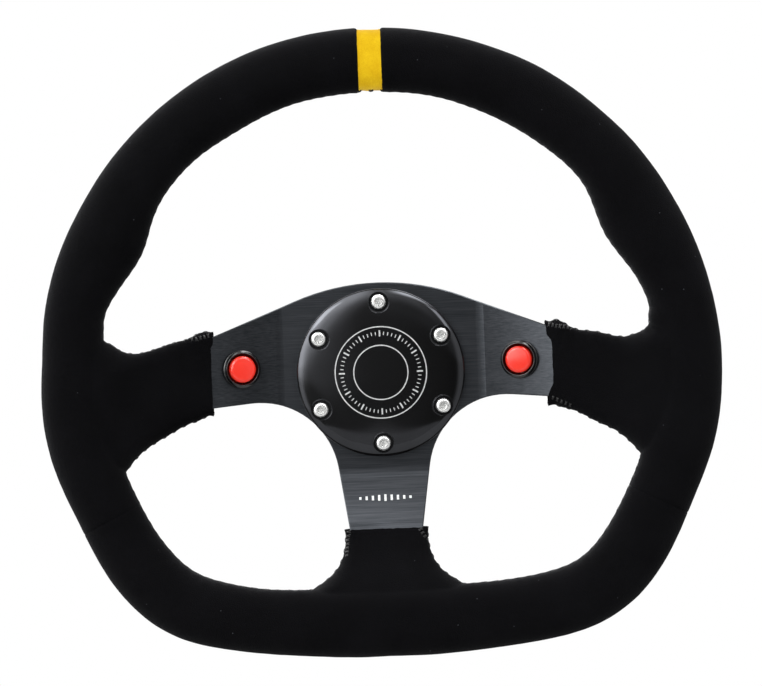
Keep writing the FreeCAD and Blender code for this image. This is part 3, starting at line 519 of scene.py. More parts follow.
def cap_finish(settings):
    """Red moulded plastic: a glossy cap with a slight change of tone."""
    material, tree, shader = new_material("red_moulded_plastic", {"Roughness": 0.22, "IOR": 1.49})
    drive(tree, shader, (grain(tree, 5 * MM, 2.0), 0.3, settings.cap_dark, 0.7, settings.cap_light),
          bump=(grain(tree, 0.6 * MM), 0.01 * MM))
    return material


def metal_finish(name, dark, light, roughness, size, depth, stretch=(1, 1, 1), metallic=1.0):
    """A bare metal: two tones and a fine grain of a real size and depth."""
    material, tree, shader = new_material(name, {"Metallic": metallic})
    marks = grain(tree, size, 4.0, 0.6, stretch)
    drive(tree, shader, (marks, 0.3, dark, 0.7, light),
          roughness=(marks, roughness * 0.8, roughness * 1.25), bump=(marks, depth))
    return material


def moulded_finish(name, dark, light, roughness, size, depth):
    """A moulded plastic or rubber: a fine moulded grain and a slight change of tone."""
    material, tree, shader = new_material(name, {"IOR": 1.49})
    skin = grain(tree, size)
    drive(tree, shader, (grain(tree, 8 * MM, 2.0), 0.3, dark, 0.7, light),
          roughness=(skin, roughness * 0.8, roughness * 1.2), bump=(skin, depth))
    return material


# ------------------------------------------------------------------------------------------- settings

def length_setting(name, description, default):
    """A length in metres."""
    return bpy.props.FloatProperty(name=name, description=description, default=default, unit="LENGTH",
                                   subtype="DISTANCE", precision=5)


def colour_setting(name, description, code):
    """A colour with its default as an sRGB hex code."""
    return bpy.props.FloatVectorProperty(name=name, description=description, default=srgb(code)[:3],
                                         subtype="COLOR", size=3, min=0.0, max=1.0)


def share_setting(name, description, default):
    """A share from 0 to 1."""
    return bpy.props.FloatProperty(name=name, description=description, default=default, min=0.0, max=1.0,
                                   subtype="FACTOR")


class GripSettings(bpy.types.PropertyGroup):
    """Suede skin of the grip, its seam and its thread."""
    dark: colour_setting("Suede dark", "Suede where the nap lies away from the light", "#020203")
    light: colour_setting("Suede light", "Suede where the nap stands up", "#08080A")
    sheen: share_setting("Nap sheen", "How much grazing light the fibres catch", 0.035)
    lint: share_setting("Lint", "How large the pale lint specks are, as a share of their spacing", 0.028)
    thread_dark: colour_setting("Thread dark", "Thread in its own shade", "#0C0C0D")
    # The light thread colour is a painted highlight: wax glints painted into the thread's colour
    thread_painted_glint: colour_setting("Thread light", "Thread where the wax glints", "#2C2C2C")
    voxel: length_setting("Mesh size", "Edge length of the skin's mesh", 1.25 * MM)
    thickness: length_setting("Suede thickness", "Thickness of the skin", 1.0 * MM)
    groove: length_setting("Seam groove", "How deep the seam pulls the skin in", 0.35 * MM)
    groove_width: length_setting("Seam width", "How far from the seam the skin is pulled in", 3.2 * MM)
    pitch: length_setting("Stitch pitch", "Distance from one cross stitch to the next", 5.6 * MM)
    stitch_reach: length_setting("Stitch reach", "How far a stitch reaches on each side", 2.4 * MM)
    braid_pitch: length_setting("Braid pitch", "Distance between the tight stitches at the cuffs", 1.9 * MM)
    braid_reach: length_setting("Braid reach", "How far a tight stitch reaches to each side", 1.3 * MM)
    thread: length_setting("Thread", "Radius of the thread", 0.34 * MM)


class BandSettings(bpy.types.PropertyGroup):
    """Coloured band at the top of the rim."""
    dark: colour_setting("Band dark", "Band where the nap lies down", "#DDA90A")
    light: colour_setting("Band light", "Band where the nap stands up", "#F0C71C")
    recess: length_setting("Recess", "How deep the band lies between the suede panels", 0.45 * MM)


class SpokeSettings(bpy.types.PropertyGroup):
    """Brushed spoke sheet."""
    sheet_dark: colour_setting("Sheet dark", "Anodised sheet in the brush lines", "#272A2D")
    sheet_light: colour_setting("Sheet light", "Anodised sheet between the brush lines", "#424448")
    roughness: share_setting("Sheet roughness", "Roughness of the brushed face", 0.3)
    bow: bpy.props.FloatProperty(name="Bow", default=math.radians(11), unit="ROTATION", subtype="ANGLE",
                                 description="How far the pressed curve turns the sheet at its ends")
    mark_count: bpy.props.IntProperty(name="Marks", description="Printed marks on the lower spoke",
                                      default=9, min=0)
    mark_pitch: length_setting("Mark pitch", "Distance between printed marks", 3.1 * MM)
    mark_height: length_setting("Mark height", "Height of the tallest printed mark", 3.4 * MM)
    mark_z: length_setting("Mark drop", "How far below the hub axis the marks lie", 62 * MM)


class CoverSettings(bpy.types.PropertyGroup):
    """Cover disc and its printed dial."""
    face: colour_setting("Disc", "Polished anodised face", "#343538")
    roughness: share_setting("Disc roughness", "Roughness of the polished face", 0.06)
    crown: length_setting("Crown", "How far the middle stands above the shoulder", 0.6 * MM)
    edge_drop: length_setting("Edge drop", "How deep the face rolls down at its edge", 2.3 * MM)
    edge_power: bpy.props.FloatProperty(name="Edge power", default=15.0, min=2.0,
                                        description="How late the face rolls into the edge")
    sink_r: length_setting("Counterbore radius", "Radius of the screw holes' counterbores", 4.9 * MM)
    ring_r: length_setting("Ring radius", "Radius of the printed ring", 22.6 * MM)
    ring_width: length_setting("Ring width", "Line width of the printed ring", 0.55 * MM)
    tick_r: length_setting("Tick radius", "Radius of the middle of the printed ticks", 19.3 * MM)
    tick_count: bpy.props.IntProperty(name="Ticks", description="Printed ticks around the dial",
                                      default=60, min=4)


class ButtonSettings(bpy.types.PropertyGroup):
    """Push buttons."""
    cap_dark: colour_setting("Cap dark", "Red moulding in the shade", "#FF3222")
    cap_light: colour_setting("Cap light", "Red moulding in the light", "#FF3D2C")
    cap_r: length_setting("Cap radius", "Radius of the red cap", 6.6 * MM)
    bezel_r: length_setting("Bezel radius", "Radius of the black bezel", 9.4 * MM)
    lip_r: length_setting("Lip radius", "Radius of the bezel's crest", 8.0 * MM)


class StageSettings(bpy.types.PropertyGroup):
    """Camera, lamps and floor."""
    distance: length_setting("Camera distance", "From the camera to the plane of the rim", 1.0)
    lens: bpy.props.FloatProperty(name="Lens", description="Focal length on a 36 mm frame, in millimetres",
                                  default=97.6, min=10.0)
    camera_x: length_setting("Camera right", "Camera to the right of the hub axis", 0.6 * MM)
    camera_z: length_setting("Camera up", "Camera above the hub axis", 14.5 * MM)
    roll: bpy.props.FloatProperty(name="Roll", description="How far the wheel is turned in the picture",
                                  default=math.radians(2.1), unit="ROTATION", subtype="ANGLE")
    floor_z: length_setting("Floor", "Height of the floor", -0.32)
    floor_r: length_setting("Floor radius", "Radius of the floor disc", 0.8)


# --------------------------------------------------------------------------------------------- stage

def area_lamp(name, place, target, width, height, radiance, colour="#FFFFFF"):
    """A soft rectangular lamp at a place, aimed at a target, with a given surface brightness."""
    data = bpy.data.lights.new(name, "AREA")
    data.shape = "RECTANGLE"
    data.size = width
    data.size_y = height
    # A Lambertian emitter of this area gives this radiance at this power
    data.energy = radiance * math.pi * width * height
    data.color = srgb(colour)[:3]
    lamp = bpy.data.objects.new(name, data)
    lamp.location = place
    lamp.rotation_euler = (Vector(target) - Vector(place)).to_track_quat("-Z", "Y").to_euler()
    lamp.visible_camera = False
    bpy.context.scene.collection.objects.link(lamp)
    return lamp


def studio_gloss(tree):
    """How bright the studio is that polished and brushed metal sees, by direction."""
    direction = add_node(tree, "ShaderNodeTexCoord").outputs["Generated"]
    axes = add_node(tree, "ShaderNodeSeparateXYZ", inputs={"Vector": direction})
    width = add_node(tree, "ShaderNodeMath", {"operation": "ABSOLUTE"}, {0: axes.outputs["X"]})
    table = add_node(tree, "ShaderNodeMath", {"operation": "MULTIPLY_ADD"}, {
        0: width.outputs[0], 1: TABLE_LEAN, 2: axes.outputs["Z"]})
    soft_box = add_node(tree, "ShaderNodeVectorMath", {"operation": "DOT_PRODUCT"}, {
        0: direction, 1: SOFT_BOX_WAY})
    followed = {"X": axes.outputs["X"], "Z": axes.outputs["Z"], "table": table.outputs[0],
                "soft_box": soft_box.outputs["Value"]}
    total = ROOM_LEVEL
    for steps in STUDIO_LIGHTS.values():
        light = 1.0
        for follows, start, end, bright in steps:
            step = add_node(tree, "ShaderNodeMapRange", {"interpolation_type": "SMOOTHSTEP"}, {
                "Value": followed[follows], "From Min": start, "From Max": end, "To Max": bright})
            light = add_node(tree, "ShaderNodeMath", {"operation": "MULTIPLY"}, {
                0: light, 1: step.outputs["Result"]}).outputs[0]
        total = add_node(tree, "ShaderNodeMath", {"operation": "ADD"}, {0: total, 1: light}).outputs[0]
    return total


def studio_world():
    """White backdrop for the camera, even light for matt skins, and the studio for gloss."""
    world = bpy.data.worlds.new("studio")
    world.use_nodes = True
    tree = world.node_tree
    tree.nodes.clear()
    path = add_node(tree, "ShaderNodeLightPath")
    plain = add_node(tree, "ShaderNodeMath", {"operation": "MAXIMUM"}, {
        0: path.outputs["Is Camera Ray"], 1: path.outputs["Is Transmission Ray"]})
    matt_or_gloss = add_node(tree, "ShaderNodeMix", {"data_type": "FLOAT"}, {
        0: path.outputs["Is Glossy Ray"], 2: MATT_LEVEL, 3: studio_gloss(tree)})
    level = add_node(tree, "ShaderNodeMix", {"data_type": "FLOAT"}, {
        0: plain.outputs[0], 2: matt_or_gloss.outputs[0], 3: 1.0})
    background = add_node(tree, "ShaderNodeBackground", inputs={
        "Color": srgb("#FFFFFF"), "Strength": level.outputs[0]})
    add_node(tree, "ShaderNodeOutputWorld", inputs={"Surface": background.outputs["Background"]})
    bpy.context.scene.world = world


def floor_finish():
    """Matt white sweep that reads as white paper and still takes a soft shadow."""
    material = bpy.data.materials.new("white_sweep")
    material.use_nodes = True
    tree = material.node_tree
    tree.nodes.clear()
    path = add_node(tree, "ShaderNodeLightPath")
    paper = add_node(tree, "ShaderNodeBsdfDiffuse", inputs={"Color": srgb("#F4F4F4")})
    glow = add_node(tree, "ShaderNodeEmission", inputs={"Color": srgb("#FFFFFF"), "Strength": 1.0})
    share = add_node(tree, "ShaderNodeMath", {"operation": "MULTIPLY"}, {
        0: path.outputs["Is Camera Ray"], 1: FLOOR_GLOW})
    mixed = add_node(tree, "ShaderNodeMixShader", inputs={
        0: share.outputs[0], 1: paper.outputs["BSDF"], 2: glow.outputs["Emission"]})
    add_node(tree, "ShaderNodeOutputMaterial", inputs={"Surface": mixed.outputs["Shader"]})
    return material


class WHEEL_OT_stage(bpy.types.Operator):
    """Set up the camera, the lamps, the white room and the floor"""
    bl_idname = "wheel.stage"
    bl_label = "Stage"

    def execute(self, context):
        settings = context.scene.wheel_stage
        context.scene.view_settings.view_transform = "Standard"
        data = bpy.data.cameras.new("camera")
        data.lens = settings.lens
        data.sensor_width = 36.0
        camera = bpy.data.objects.new("camera", data)
        camera.location = (settings.camera_x, RIM_Y - settings.distance, settings.camera_z)
        upright = Matrix.Rotation(math.radians(90), 4, "X")
        camera.rotation_euler = (upright @ Matrix.Rotation(-settings.roll, 4, "Z")).to_euler()
        context.scene.collection.objects.link(camera)
        context.scene.camera = camera
        studio_world()
        hub = (0.0, RIM_Y, 0.0)
        area_lamp("key_left", (-0.95, -1.05, 1.0), hub, 0.6, 0.6, 7.0)
        area_lamp("fill_right", (1.0, -0.9, 0.85), hub, 0.4, 0.5, 5.0)
        area_lamp("rear_top", (0.0, 0.9, 1.2), hub, 1.2, 0.5, 1.5)
        bm = bmesh.new()
        bmesh.ops.create_circle(bm, cap_ends=True, segments=96, radius=settings.floor_r)
        bm.transform(Matrix.Translation((0, 0, settings.floor_z)))
        floor = bpy.data.objects.new("floor", mesh_of(bm, "floor"))
        floor.data.materials.append(floor_finish())
        context.scene.collection.objects.link(floor)
        return {"FINISHED"}


# ---------------------------------------------------------------------------------------------- grip

def spoke_line(distance, slope):
    """Y of the middle of the spoke sheet at a distance from the hub axis."""
    plate_mid = PLATE_FRONT_Y + PLATE_T / 2
    return plate_mid - max(0.0, distance - BEND_START) * math.tan(slope)


def spoke_face(distance, slope):
    """Y of the spoke sheet's front face at a distance from the hub axis."""
    return spoke_line(distance, slope) - PLATE_T / 2 / math.cos(slope)


def clay_of(names):
    """Copies of nodes of the frame in one welded mesh."""
    bm = bmesh.new()
    for name in names:
        bm.from_mesh(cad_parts[name].data)
    bmesh.ops.remove_doubles(bm, verts=bm.verts, dist=0.002 * MM)
    return mesh_of(bm, "clay")


def largest_part(bm):
    """Delete every loose part but the one with the most vertices."""
    left = set(bm.verts)
    parts = []
    while left:
        stack = [left.pop()]
        part = set(stack)
        while stack:
            for edge in stack.pop().link_edges:
                for vert in edge.verts:
                    if vert in left:
                        left.discard(vert)
                        part.add(vert)
                        stack.append(vert)
        parts.append(part)
    keep = max(parts, key=len)
    bmesh.ops.delete(bm, geom=[vert for vert in bm.verts if vert not in keep], context="VERTS")


def is_lower_cuff(co):
    """Whether a point near an open end belongs to the lower cuff."""
    return co.z < LOWER_CUFF_TOP and abs(co.x) < CUFF_ZONE


def cuff_edge(co):
    """How far from the hub axis the cuff near a point ends, in metres; the right one ends in a hollow."""
    fray = 0.22 * MM * noise.noise(co / (1.3 * MM))
    if is_lower_cuff(co):
        return LOWER_CUFF_END + 1.3 * MM + fray
    if co.x < 0:
        return SIDE_CUFF_END + 1.1 * MM * smooth_step((20 * MM - co.z) / (4 * MM)) + fray
    hollow = smooth_step((20.5 * MM - co.z) / (10 * MM)) * smooth_step((co.z + 15 * MM) / (8 * MM))
    return SIDE_CUFF_END + 2.5 * MM * hollow + fray


def end_distance(co):
    """How far a point of the grip lies outside the nearest open cuff end, in metres."""
    side = abs(co.x) - SIDE_CUFF_END if abs(co.z) < CUFF_ZONE else 1.0
    lower = -co.z - LOWER_CUFF_END if abs(co.x) < CUFF_ZONE and co.z < 0 else 1.0
    return min(side, lower)


def grip_skin(settings):
    """The outer skin of the whole grip as one open bmesh, with its cuff ends at their real places."""
    clay = clay_of(["suede_left", "suede_right", "suede_lower", "centre_stripe", "rim_foam"])
    holder = scratch(clay)
    remesh = holder.modifiers.new("voxels", "REMESH")
    remesh.mode = "VOXEL"
    remesh.voxel_size = settings.voxel
    bm = bmesh.new()
    bm.from_mesh(settled(holder))
    # The last voxels of each cuff are rounded over, so they are cut off and the edge is drawn out again
    lost = 3.2 * settings.voxel
    near = [face for face in bm.faces if end_distance(face.calc_center_median()) < lost
            and all(end_distance(vert.co) < lost for vert in face.verts)]
    bmesh.ops.delete(bm, geom=near, context="FACES")
    bmesh.ops.delete(bm, geom=[vert for vert in bm.verts if not vert.link_faces], context="VERTS")
    largest_part(bm)
    solid = BVHTree.FromPolygons([vert.co for vert in clay.vertices],
                                 [face.vertices for face in clay.polygons])
    for rounds in (4, 3):
        for _ in range(rounds):
            inner = [vert for vert in bm.verts if not vert.is_boundary]
            bmesh.ops.smooth_vert(bm, verts=inner, factor=0.5,
                                  use_axis_x=True, use_axis_y=True, use_axis_z=True)
        for vert in bm.verts:
            vert.co = vert.co.lerp(solid.find_nearest(vert.co)[0], 0.85)
    bpy.data.meshes.remove(clay)
    draw_out_ends(bm)
    bmesh.ops.recalc_face_normals(bm, faces=bm.faces)
    bm.normal_update()
    return bm


def draw_out_ends(bm):
    """Add four more loops of faces at each open end, out to where the cuff really ends."""
    loops = 4
    for loop in range(loops):
        rim = [edge for edge in bm.edges if edge.is_boundary]
        grown = bmesh.ops.extrude_edge_only(bm, edges=rim)["geom"]
        share = 1 / (loops - loop)
        for vert in [item for item in grown if isinstance(item, bmesh.types.BMVert)]:
            co = vert.co
            if is_lower_cuff(co):
                co.z += (-cuff_edge(co) - co.z) * share
            else:
                co.x += (math.copysign(cuff_edge(co), co.x) - co.x) * share


def seam_lines(bm):
    """Runs of points along the inner edge of the grip, where its surface turns from front to back."""
    crossings = {}
    links = {}
    for face in bm.faces:
        hits = []
        for edge in face.edges:
            first, second = edge.verts
            a, b = first.normal.y, second.normal.y
            if (a < 0) != (b < 0):
                crossings[edge] = first.co.lerp(second.co, a / (a - b))
                hits.append(edge)
        if len(hits) == 2:
            links.setdefault(hits[0], []).append(hits[1])
            links.setdefault(hits[1], []).append(hits[0])
    runs = []
    unused = set(links)
    ends = [edge for edge in links if len(links[edge]) == 1]
    for start in ends + list(links):
        if start not in unused:
            continue
        run = [start]
        unused.discard(start)
        step = start
        while True:
            following = [edge for edge in links[step] if edge in unused]
            if not following:
                break
            step = following[0]
            unused.discard(step)
            run.append(step)
        points = [crossings[edge] for edge in run]
        length = sum((b - a).length for a, b in zip(points, points[1:]))
        inside = all(math.hypot(point.x, point.z) < INNER_EDGE_R for point in points)
        if length > SHORTEST_SEAM and inside:
            runs.append(points)
    return runs


def evened(points, step):
    """A smoothed run of points with even steps."""
    for _ in range(12):
        middle = [(a + b * 2 + c) / 4 for a, b, c in zip(points, points[1:], points[2:])]
        points = [points[0]] + middle + [points[-1]]
    result = [points[0]]
    carried = 0.0
    for a, b in zip(points, points[1:]):
        length = (b - a).length
        while length > 0 and carried + length >= step:
            a = a.lerp(b, (step - carried) / length)
            length = (b - a).length
            carried = 0.0
            result.append(a)
        carried += length
    return result


def shape_skin(bm, seams, settings):
    """Pull the seam in, pucker it between stitches, and give the skin the small bulges of a hand wrap."""
    step = 0.8 * MM
    samples = [(point, index * step) for run in seams for index, point in enumerate(evened(run, step))]
    tree = KDTree(len(samples))
    for index, (point, _) in enumerate(samples):
        tree.insert(point, index)
    tree.balance()
    moves = []
    for vert in bm.verts:
        co = vert.co
        _, index, distance = tree.find(co)
        along = samples[index][1]
        near = math.exp(-(distance / settings.groove_width) ** 2)
        pucker = 0.5 + 0.5 * math.cos(2 * math.pi * along / settings.pitch)
        sink = settings.groove * near * (0.55 + 0.45 * pucker)
        # Just beside the seam the skin bunches up between the stitches
        beside = math.exp(-((distance - 1.6 * settings.groove_width) / settings.groove_width) ** 2)
        swell = BUNCH_HEIGHT * beside * (1 - pucker)
        bulge = sum(height * noise.noise(co / size) for height, size in WRAP_BULGES)
        moves.append((vert, vert.normal * (swell + bulge - sink)))
    for vert, move in moves:
        vert.co += move


def trim_cuff(co, distance):
    """Move the edges of a side cuff in or out, where its outline leaves the straight line of the solid."""
    for side, edge, place, width, move in CUFF_TRIMS:
        if co.x * side < 0 or co.z * edge < 0 or abs(co.z) > CUFF_ZONE:
            continue
        inside = max(0.0, (CUFF_UPPER_EDGE if edge > 0 else CUFF_LOWER_EDGE) - abs(co.z))
        share = math.exp(-((distance - place) / width) ** 2) * smooth_step(1 - inside / (10 * MM))
        co.z += edge * move * share


def skin_moves():
    """Middle X and Z, width, and the move in X and Z of each place where the skin leaves the solid."""
    moves = list(ROOT_MOVES)
    for angle, radius, width, outward in RIM_MOVES:
        way_x, way_z = math.sin(math.radians(angle)), math.cos(math.radians(angle))
        moves.append((way_x * radius * MM, RIM_MIDDLE_Z + way_z * radius * MM, width * MM,
                      way_x * outward * MM, way_z * outward * MM))
    return moves


def settle_cuffs(bm):
    """Draw the cuffs' open ends down onto the spokes and raise the small ears where the seams end."""
    moves = skin_moves()
    end_reach, hug_reach, hug_share, skin_gap = 12 * MM, 5 * MM, 0.75, 1.25 * MM
    for vert in bm.verts:
        co = vert.co
        distance = end_distance(co)
        if distance < CUFF_TRIM_REACH:
            trim_cuff(co, distance)
        for x, z, width, move_x, move_z in moves:
            share = math.exp(-((co.x - x) ** 2 + (co.z - z) ** 2) / width ** 2)
            co.x, co.z = co.x + move_x * share, co.z + move_z * share
        if distance > end_reach:
            continue
        lower = is_lower_cuff(co)
        slope = LOWER_SLOPE if lower else SIDE_SLOPE
        reach = -co.z if lower else abs(co.x)
        across = co.x if lower else co.z
        middle_y = spoke_line(reach, slope)
        # The end hugs the sheet: the last few millimetres lie flatter
        hug = hug_share * smooth_step(1 - distance / hug_reach)
        offset = co.y - middle_y
        limit = PLATE_T / 2 + skin_gap
        if abs(offset) > limit:
            co.y = middle_y + math.copysign(abs(offset) + (limit - abs(offset)) * hug, offset)
        raise_ears(co, distance, across, lower)
    bm.normal_update()


def raise_ears(co, distance, across, lower):
    """Push the corners of a cuff end out into small rucked ears."""
    corners = (20.7 * MM, -20.7 * MM) if lower else (23.2 * MM, -18.0 * MM)
    length, width, height, ruck = 6.5 * MM, 4.5 * MM, 0.9 * MM, 3.0 * MM
    for corner in corners:
        outward = 1 if corner > 0 else -1
        inside = max(0.0, (corner - across) * outward)
        strength = smooth_step(1 - max(0.0, distance) / length) * smooth_step(1 - inside / width)
        lift = outward * height * strength * (0.35 + noise.noise(co / ruck + Vector((7.3, 0, 0))))
        if lower:
            co.x += lift
        else:
            co.z += lift


def roll_edge(bm, distance_to_cut, depth, width):
    """Round a panel's cut edge down, as a turned and glued edge does."""
    moves = []
    for vert in bm.verts:
        distance = distance_to_cut(vert.co)
        if 0 <= distance < width:
            share = 1 - distance / width
            moves.append((vert, vert.normal * (-depth * (1 - math.sqrt(max(0.0, 1 - share * share))))))
    for vert, move in moves:
        vert.co += move


def stripe_distance(co):
    """How far a point is from the band's edge, outside the band."""
    return abs(co.x) - STRIPE_HALF_WIDTH if co.z > 0 else 1.0


def seam_normal(side):
    """Normal of the plane through the hub axis where a side panel meets the lower panel; it points down."""
    across = Vector((side * math.sin(SEAM_ANGLE), 0, math.cos(SEAM_ANGLE)))
    normal = Vector((across.z * side, 0, -across.x * side))
    return normal if normal.z < 0 else -normal


def seam_distance(co):
    """How far a point is from the joint of a side panel and the lower panel, to either side."""
    return abs(co.dot(seam_normal(1 if co.x >= 0 else -1)))


def sink(bm, depth):
    """Move a skin inwards along its normals."""
    for vert, normal in [(vert, vert.normal.copy()) for vert in bm.verts]:
        vert.co -= normal * depth


def panel_mesh(bm, name, settings, recess=0.0):
    """A panel with its thickness, from a bmesh that is freed."""
    sink(bm, recess)
    holder = scratch(mesh_of(bm, name))
    wall = holder.modifiers.new("wall", "SOLIDIFY")
    wall.thickness = settings.thickness
    wall.offset = -1.0
    wall.use_even_offset = False
    mesh = settled(holder)
    mesh.name = name
    return shade(mesh, 50)


def split_panels(skin):
    """Left, right and lower panels and the band, each as its own bmesh; the skin is freed."""
    edge = STRIPE_HALF_WIDTH
    # The band's edges get extra cuts beside them, so that the panels' turned edges roll down evenly
    cuts = [(Vector((side * (edge + extra), 0, 0)), Vector((side, 0, 0)))
            for side in (-1, 1) for extra in (0, 0.25 * MM, 0.6 * MM, 1.1 * MM)]
    cuts += [(Vector((0, 0, 0)), seam_normal(side)) for side in (1, -1)]
    for point, normal in cuts:
        everything = skin.verts[:] + skin.edges[:] + skin.faces[:]
        bmesh.ops.bisect_plane(skin, geom=everything, plane_co=point, plane_no=normal)
    bmesh.ops.remove_doubles(skin, verts=skin.verts, dist=0.02 * MM)
    skin.normal_update()

    def belongs(co):
        side = 1 if co.x >= 0 else -1
        if co.z > 0 and abs(co.x) < edge:
            return "band"
        if co.dot(seam_normal(side)) > 0:
            return "lower"
        return "right" if side > 0 else "left"

    parts = {}
    for word in ("left", "right", "lower", "band"):
        part = skin.copy()
        others = [face for face in part.faces if belongs(face.calc_center_median()) != word]
        bmesh.ops.delete(part, geom=others, context="FACES")
        parts[word] = part
    skin.free()
    return parts


def foam_piece(skin, material):
    """Foam under the skin, cut back a little from the cuff ends."""
    foam = skin.copy()
    inset, back, reach = 1.4 * MM, 2.5 * MM, 5 * MM
    sink(foam, inset)
    ends = [(Vector((side * (SIDE_CUFF_END + back), 0, 0)), Vector((-side, 0, 0))) for side in (-1, 1)]
    for vert in foam.verts:
        for point, normal in ends:
            inside = (vert.co - point).dot(normal)
            if 0 < inside < reach and abs(vert.co.z) < CUFF_ZONE:
                vert.co -= normal * inside
        if is_lower_cuff(vert.co) and vert.co.z > -LOWER_CUFF_END - back:
            vert.co.z = -LOWER_CUFF_END - back
    bmesh.ops.remove_doubles(foam, verts=foam.verts, dist=0.3 * MM)
    bmesh.ops.holes_fill(foam, edges=[edge for edge in foam.edges if edge.is_boundary], sides=0)
    bmesh.ops.recalc_face_normals(foam, faces=foam.faces)
    mesh = shade(mesh_of(foam, "moulded_foam"), 60)
    piece = new_piece("moulded_foam", mesh, material, "wheel", ["rim_foam"])


def stitch_tree():
    """Cross stitches along a run of edges: two short thread arches over the seam at each place."""
    tree, inputs, output = geometry_tree("cross_stitches", {
        "Pitch": "NodeSocketFloat", "Reach": "NodeSocketFloat", "Thread": "NodeSocketFloat",
        "Skin": "NodeSocketObject", "Material": "NodeSocketMaterial"})
    curve = add_node(tree, "GeometryNodeMeshToCurve", inputs={"Mesh": inputs.outputs["Geometry"]})
    even = add_node(tree, "GeometryNodeResampleCurve", {"mode": "LENGTH"}, {
        "Curve": curve.outputs["Curve"], "Length": inputs.outputs["Pitch"]})
    tangent = add_node(tree, "GeometryNodeInputTangent")
    skin = add_node(tree, "GeometryNodeObjectInfo", inputs={"Object": inputs.outputs["Skin"]})
    facing = add_node(tree, "GeometryNodeInputNormal")
    nearest = add_node(tree, "GeometryNodeSampleNearestSurface", {"data_type": "FLOAT_VECTOR"}, {
        "Mesh": skin.outputs["Geometry"], "Value": facing.outputs["Normal"]})
    upright = add_node(tree, "FunctionNodeAlignRotationToVector", {"axis": "Z"}, {
        "Vector": nearest.outputs["Value"]})
    turned = add_node(tree, "FunctionNodeAlignRotationToVector", {"axis": "X", "pivot_axis": "Z"}, {
        "Rotation": upright.outputs["Rotation"], "Vector": tangent.outputs["Tangent"]})
    profile = add_node(tree, "GeometryNodeCurvePrimitiveCircle", inputs={
        "Resolution": 6, "Radius": inputs.outputs["Thread"]})
    threads = []
    lean_share, arch_height, depth = 0.45, 0.9 * MM, 0.75 * MM
    for lean in (-lean_share, lean_share):
        crown = add_node(tree, "ShaderNodeCombineXYZ", inputs={"Z": arch_height})
        feet = []
        for sign in (-1, 1):
            x = add_node(tree, "ShaderNodeMath", {"operation": "MULTIPLY"}, {
                0: inputs.outputs["Reach"], 1: sign * lean})
            y = add_node(tree, "ShaderNodeMath", {"operation": "MULTIPLY"}, {
                0: inputs.outputs["Reach"], 1: float(sign)})
            feet.append(add_node(tree, "ShaderNodeCombineXYZ", inputs={
                "X": x.outputs[0], "Y": y.outputs[0], "Z": -depth}).outputs[0])
        arch = add_node(tree, "GeometryNodeCurveQuadraticBezier", inputs={
            "Resolution": 6, "Start": feet[0], "Middle": crown.outputs[0], "End": feet[1]})
        tube = add_node(tree, "GeometryNodeCurveToMesh", inputs={
            "Curve": arch.outputs["Curve"], "Profile Curve": profile.outputs["Curve"], "Fill Caps": True})
        threads.append(tube.outputs["Mesh"])
    cross = add_node(tree, "GeometryNodeJoinGeometry")
    for thread in threads:
        tree.links.new(thread, cross.inputs["Geometry"])
    stitches = add_node(tree, "GeometryNodeInstanceOnPoints", inputs={
        "Points": even.outputs["Curve"], "Instance": cross.outputs["Geometry"],
        "Rotation": turned.outputs["Rotation"]})
    close_tree(tree, output, stitches.outputs["Instances"], inputs)
    return tree


def line_mesh(runs):
    """A mesh of edges only, one chain for each run of points."""
    bm = bmesh.new()
    for run in runs:
        verts = [bm.verts.new(point) for point in run]
        for a, b in zip(verts, verts[1:]):
            bm.edges.new((a, b))
    return mesh_of(bm, "runs")


def lie_on(bvh, points):
    """Points moved onto the nearest place of a surface."""
    return [bvh.find_nearest(point)[0] for point in points]


def seen_on(bvh, points):
    """Points moved straight away from the driver until they meet a surface."""
    hits = [bvh.ray_cast(point, Vector((0, 1, 0)))[0] for point in points]
    return [hit for hit in hits if hit]


class WHEEL_OT_grip(bpy.types.Operator):
    """Wrap the rim and the cuffs in three suede panels and a coloured band, over foam"""
    bl_idname = "wheel.grip"
    bl_label = "Grip"

    def execute(self, context):
        settings, band = context.scene.wheel_grip, context.scene.wheel_band
        suede = suede_finish(settings)
        skin = grip_skin(settings)
        seams = seam_lines(skin)
        if len(seams) != 3:
            raise RuntimeError(f"the grip has {len(seams)} inner seams, and it should have 3")
        shape_skin(skin, seams, settings)
        settle_cuffs(skin)
        foam_piece(skin, foam_finish())
        bvh = BVHTree.FromBMesh(skin)
        whole = mesh_of(skin.copy(), "whole_skin")
        parts = split_panels(skin)
        for word in ("left", "right", "lower"):
            part = parts[word]
            part.normal_update()
            roll_edge(part, stripe_distance, depth=0.9 * MM, width=1.3 * MM)
            roll_edge(part, seam_distance, depth=0.25 * MM, width=0.8 * MM)
            mesh = panel_mesh(part, f"suede_panel_{word}", settings)
            piece = new_piece(f"suede_panel_{word}", mesh, suede, "wheel", [f"suede_{word}"])
        parts["band"].normal_update()
        mesh = panel_mesh(parts["band"], "centre_band", settings, band.recess)
        piece = new_piece("centre_band", mesh, band_finish(band), "wheel",
                          ["centre_stripe"])
        ground = scratch(whole)
        thread = thread_finish(settings)
        tree = stitch_tree()
        seam_runs = [lie_on(bvh, evened(run, 2 * MM)[2:-2]) for run in seams]
        knot_runs = [seen_on(bvh, evened([Vector(a), Vector(b)], 1 * MM)) for a, b in CUFF_BRAIDS]
        for name, runs, pitch, reach in (
                ("seam_stitches", seam_runs, settings.pitch, settings.stitch_reach),
                ("cuff_braids", knot_runs, settings.braid_pitch, settings.braid_reach)):
            stitches = grow(line_mesh(runs), tree, {
                "Pitch": pitch, "Reach": reach, "Thread": settings.thread, "Skin": ground,
                "Material": thread})
            new_piece(name, shade(stitches, 60), thread, "wheel")
        bpy.data.objects.remove(ground)
        return {"FINISHED"}


# -------------------------------------------------------------------------------------------- spokes

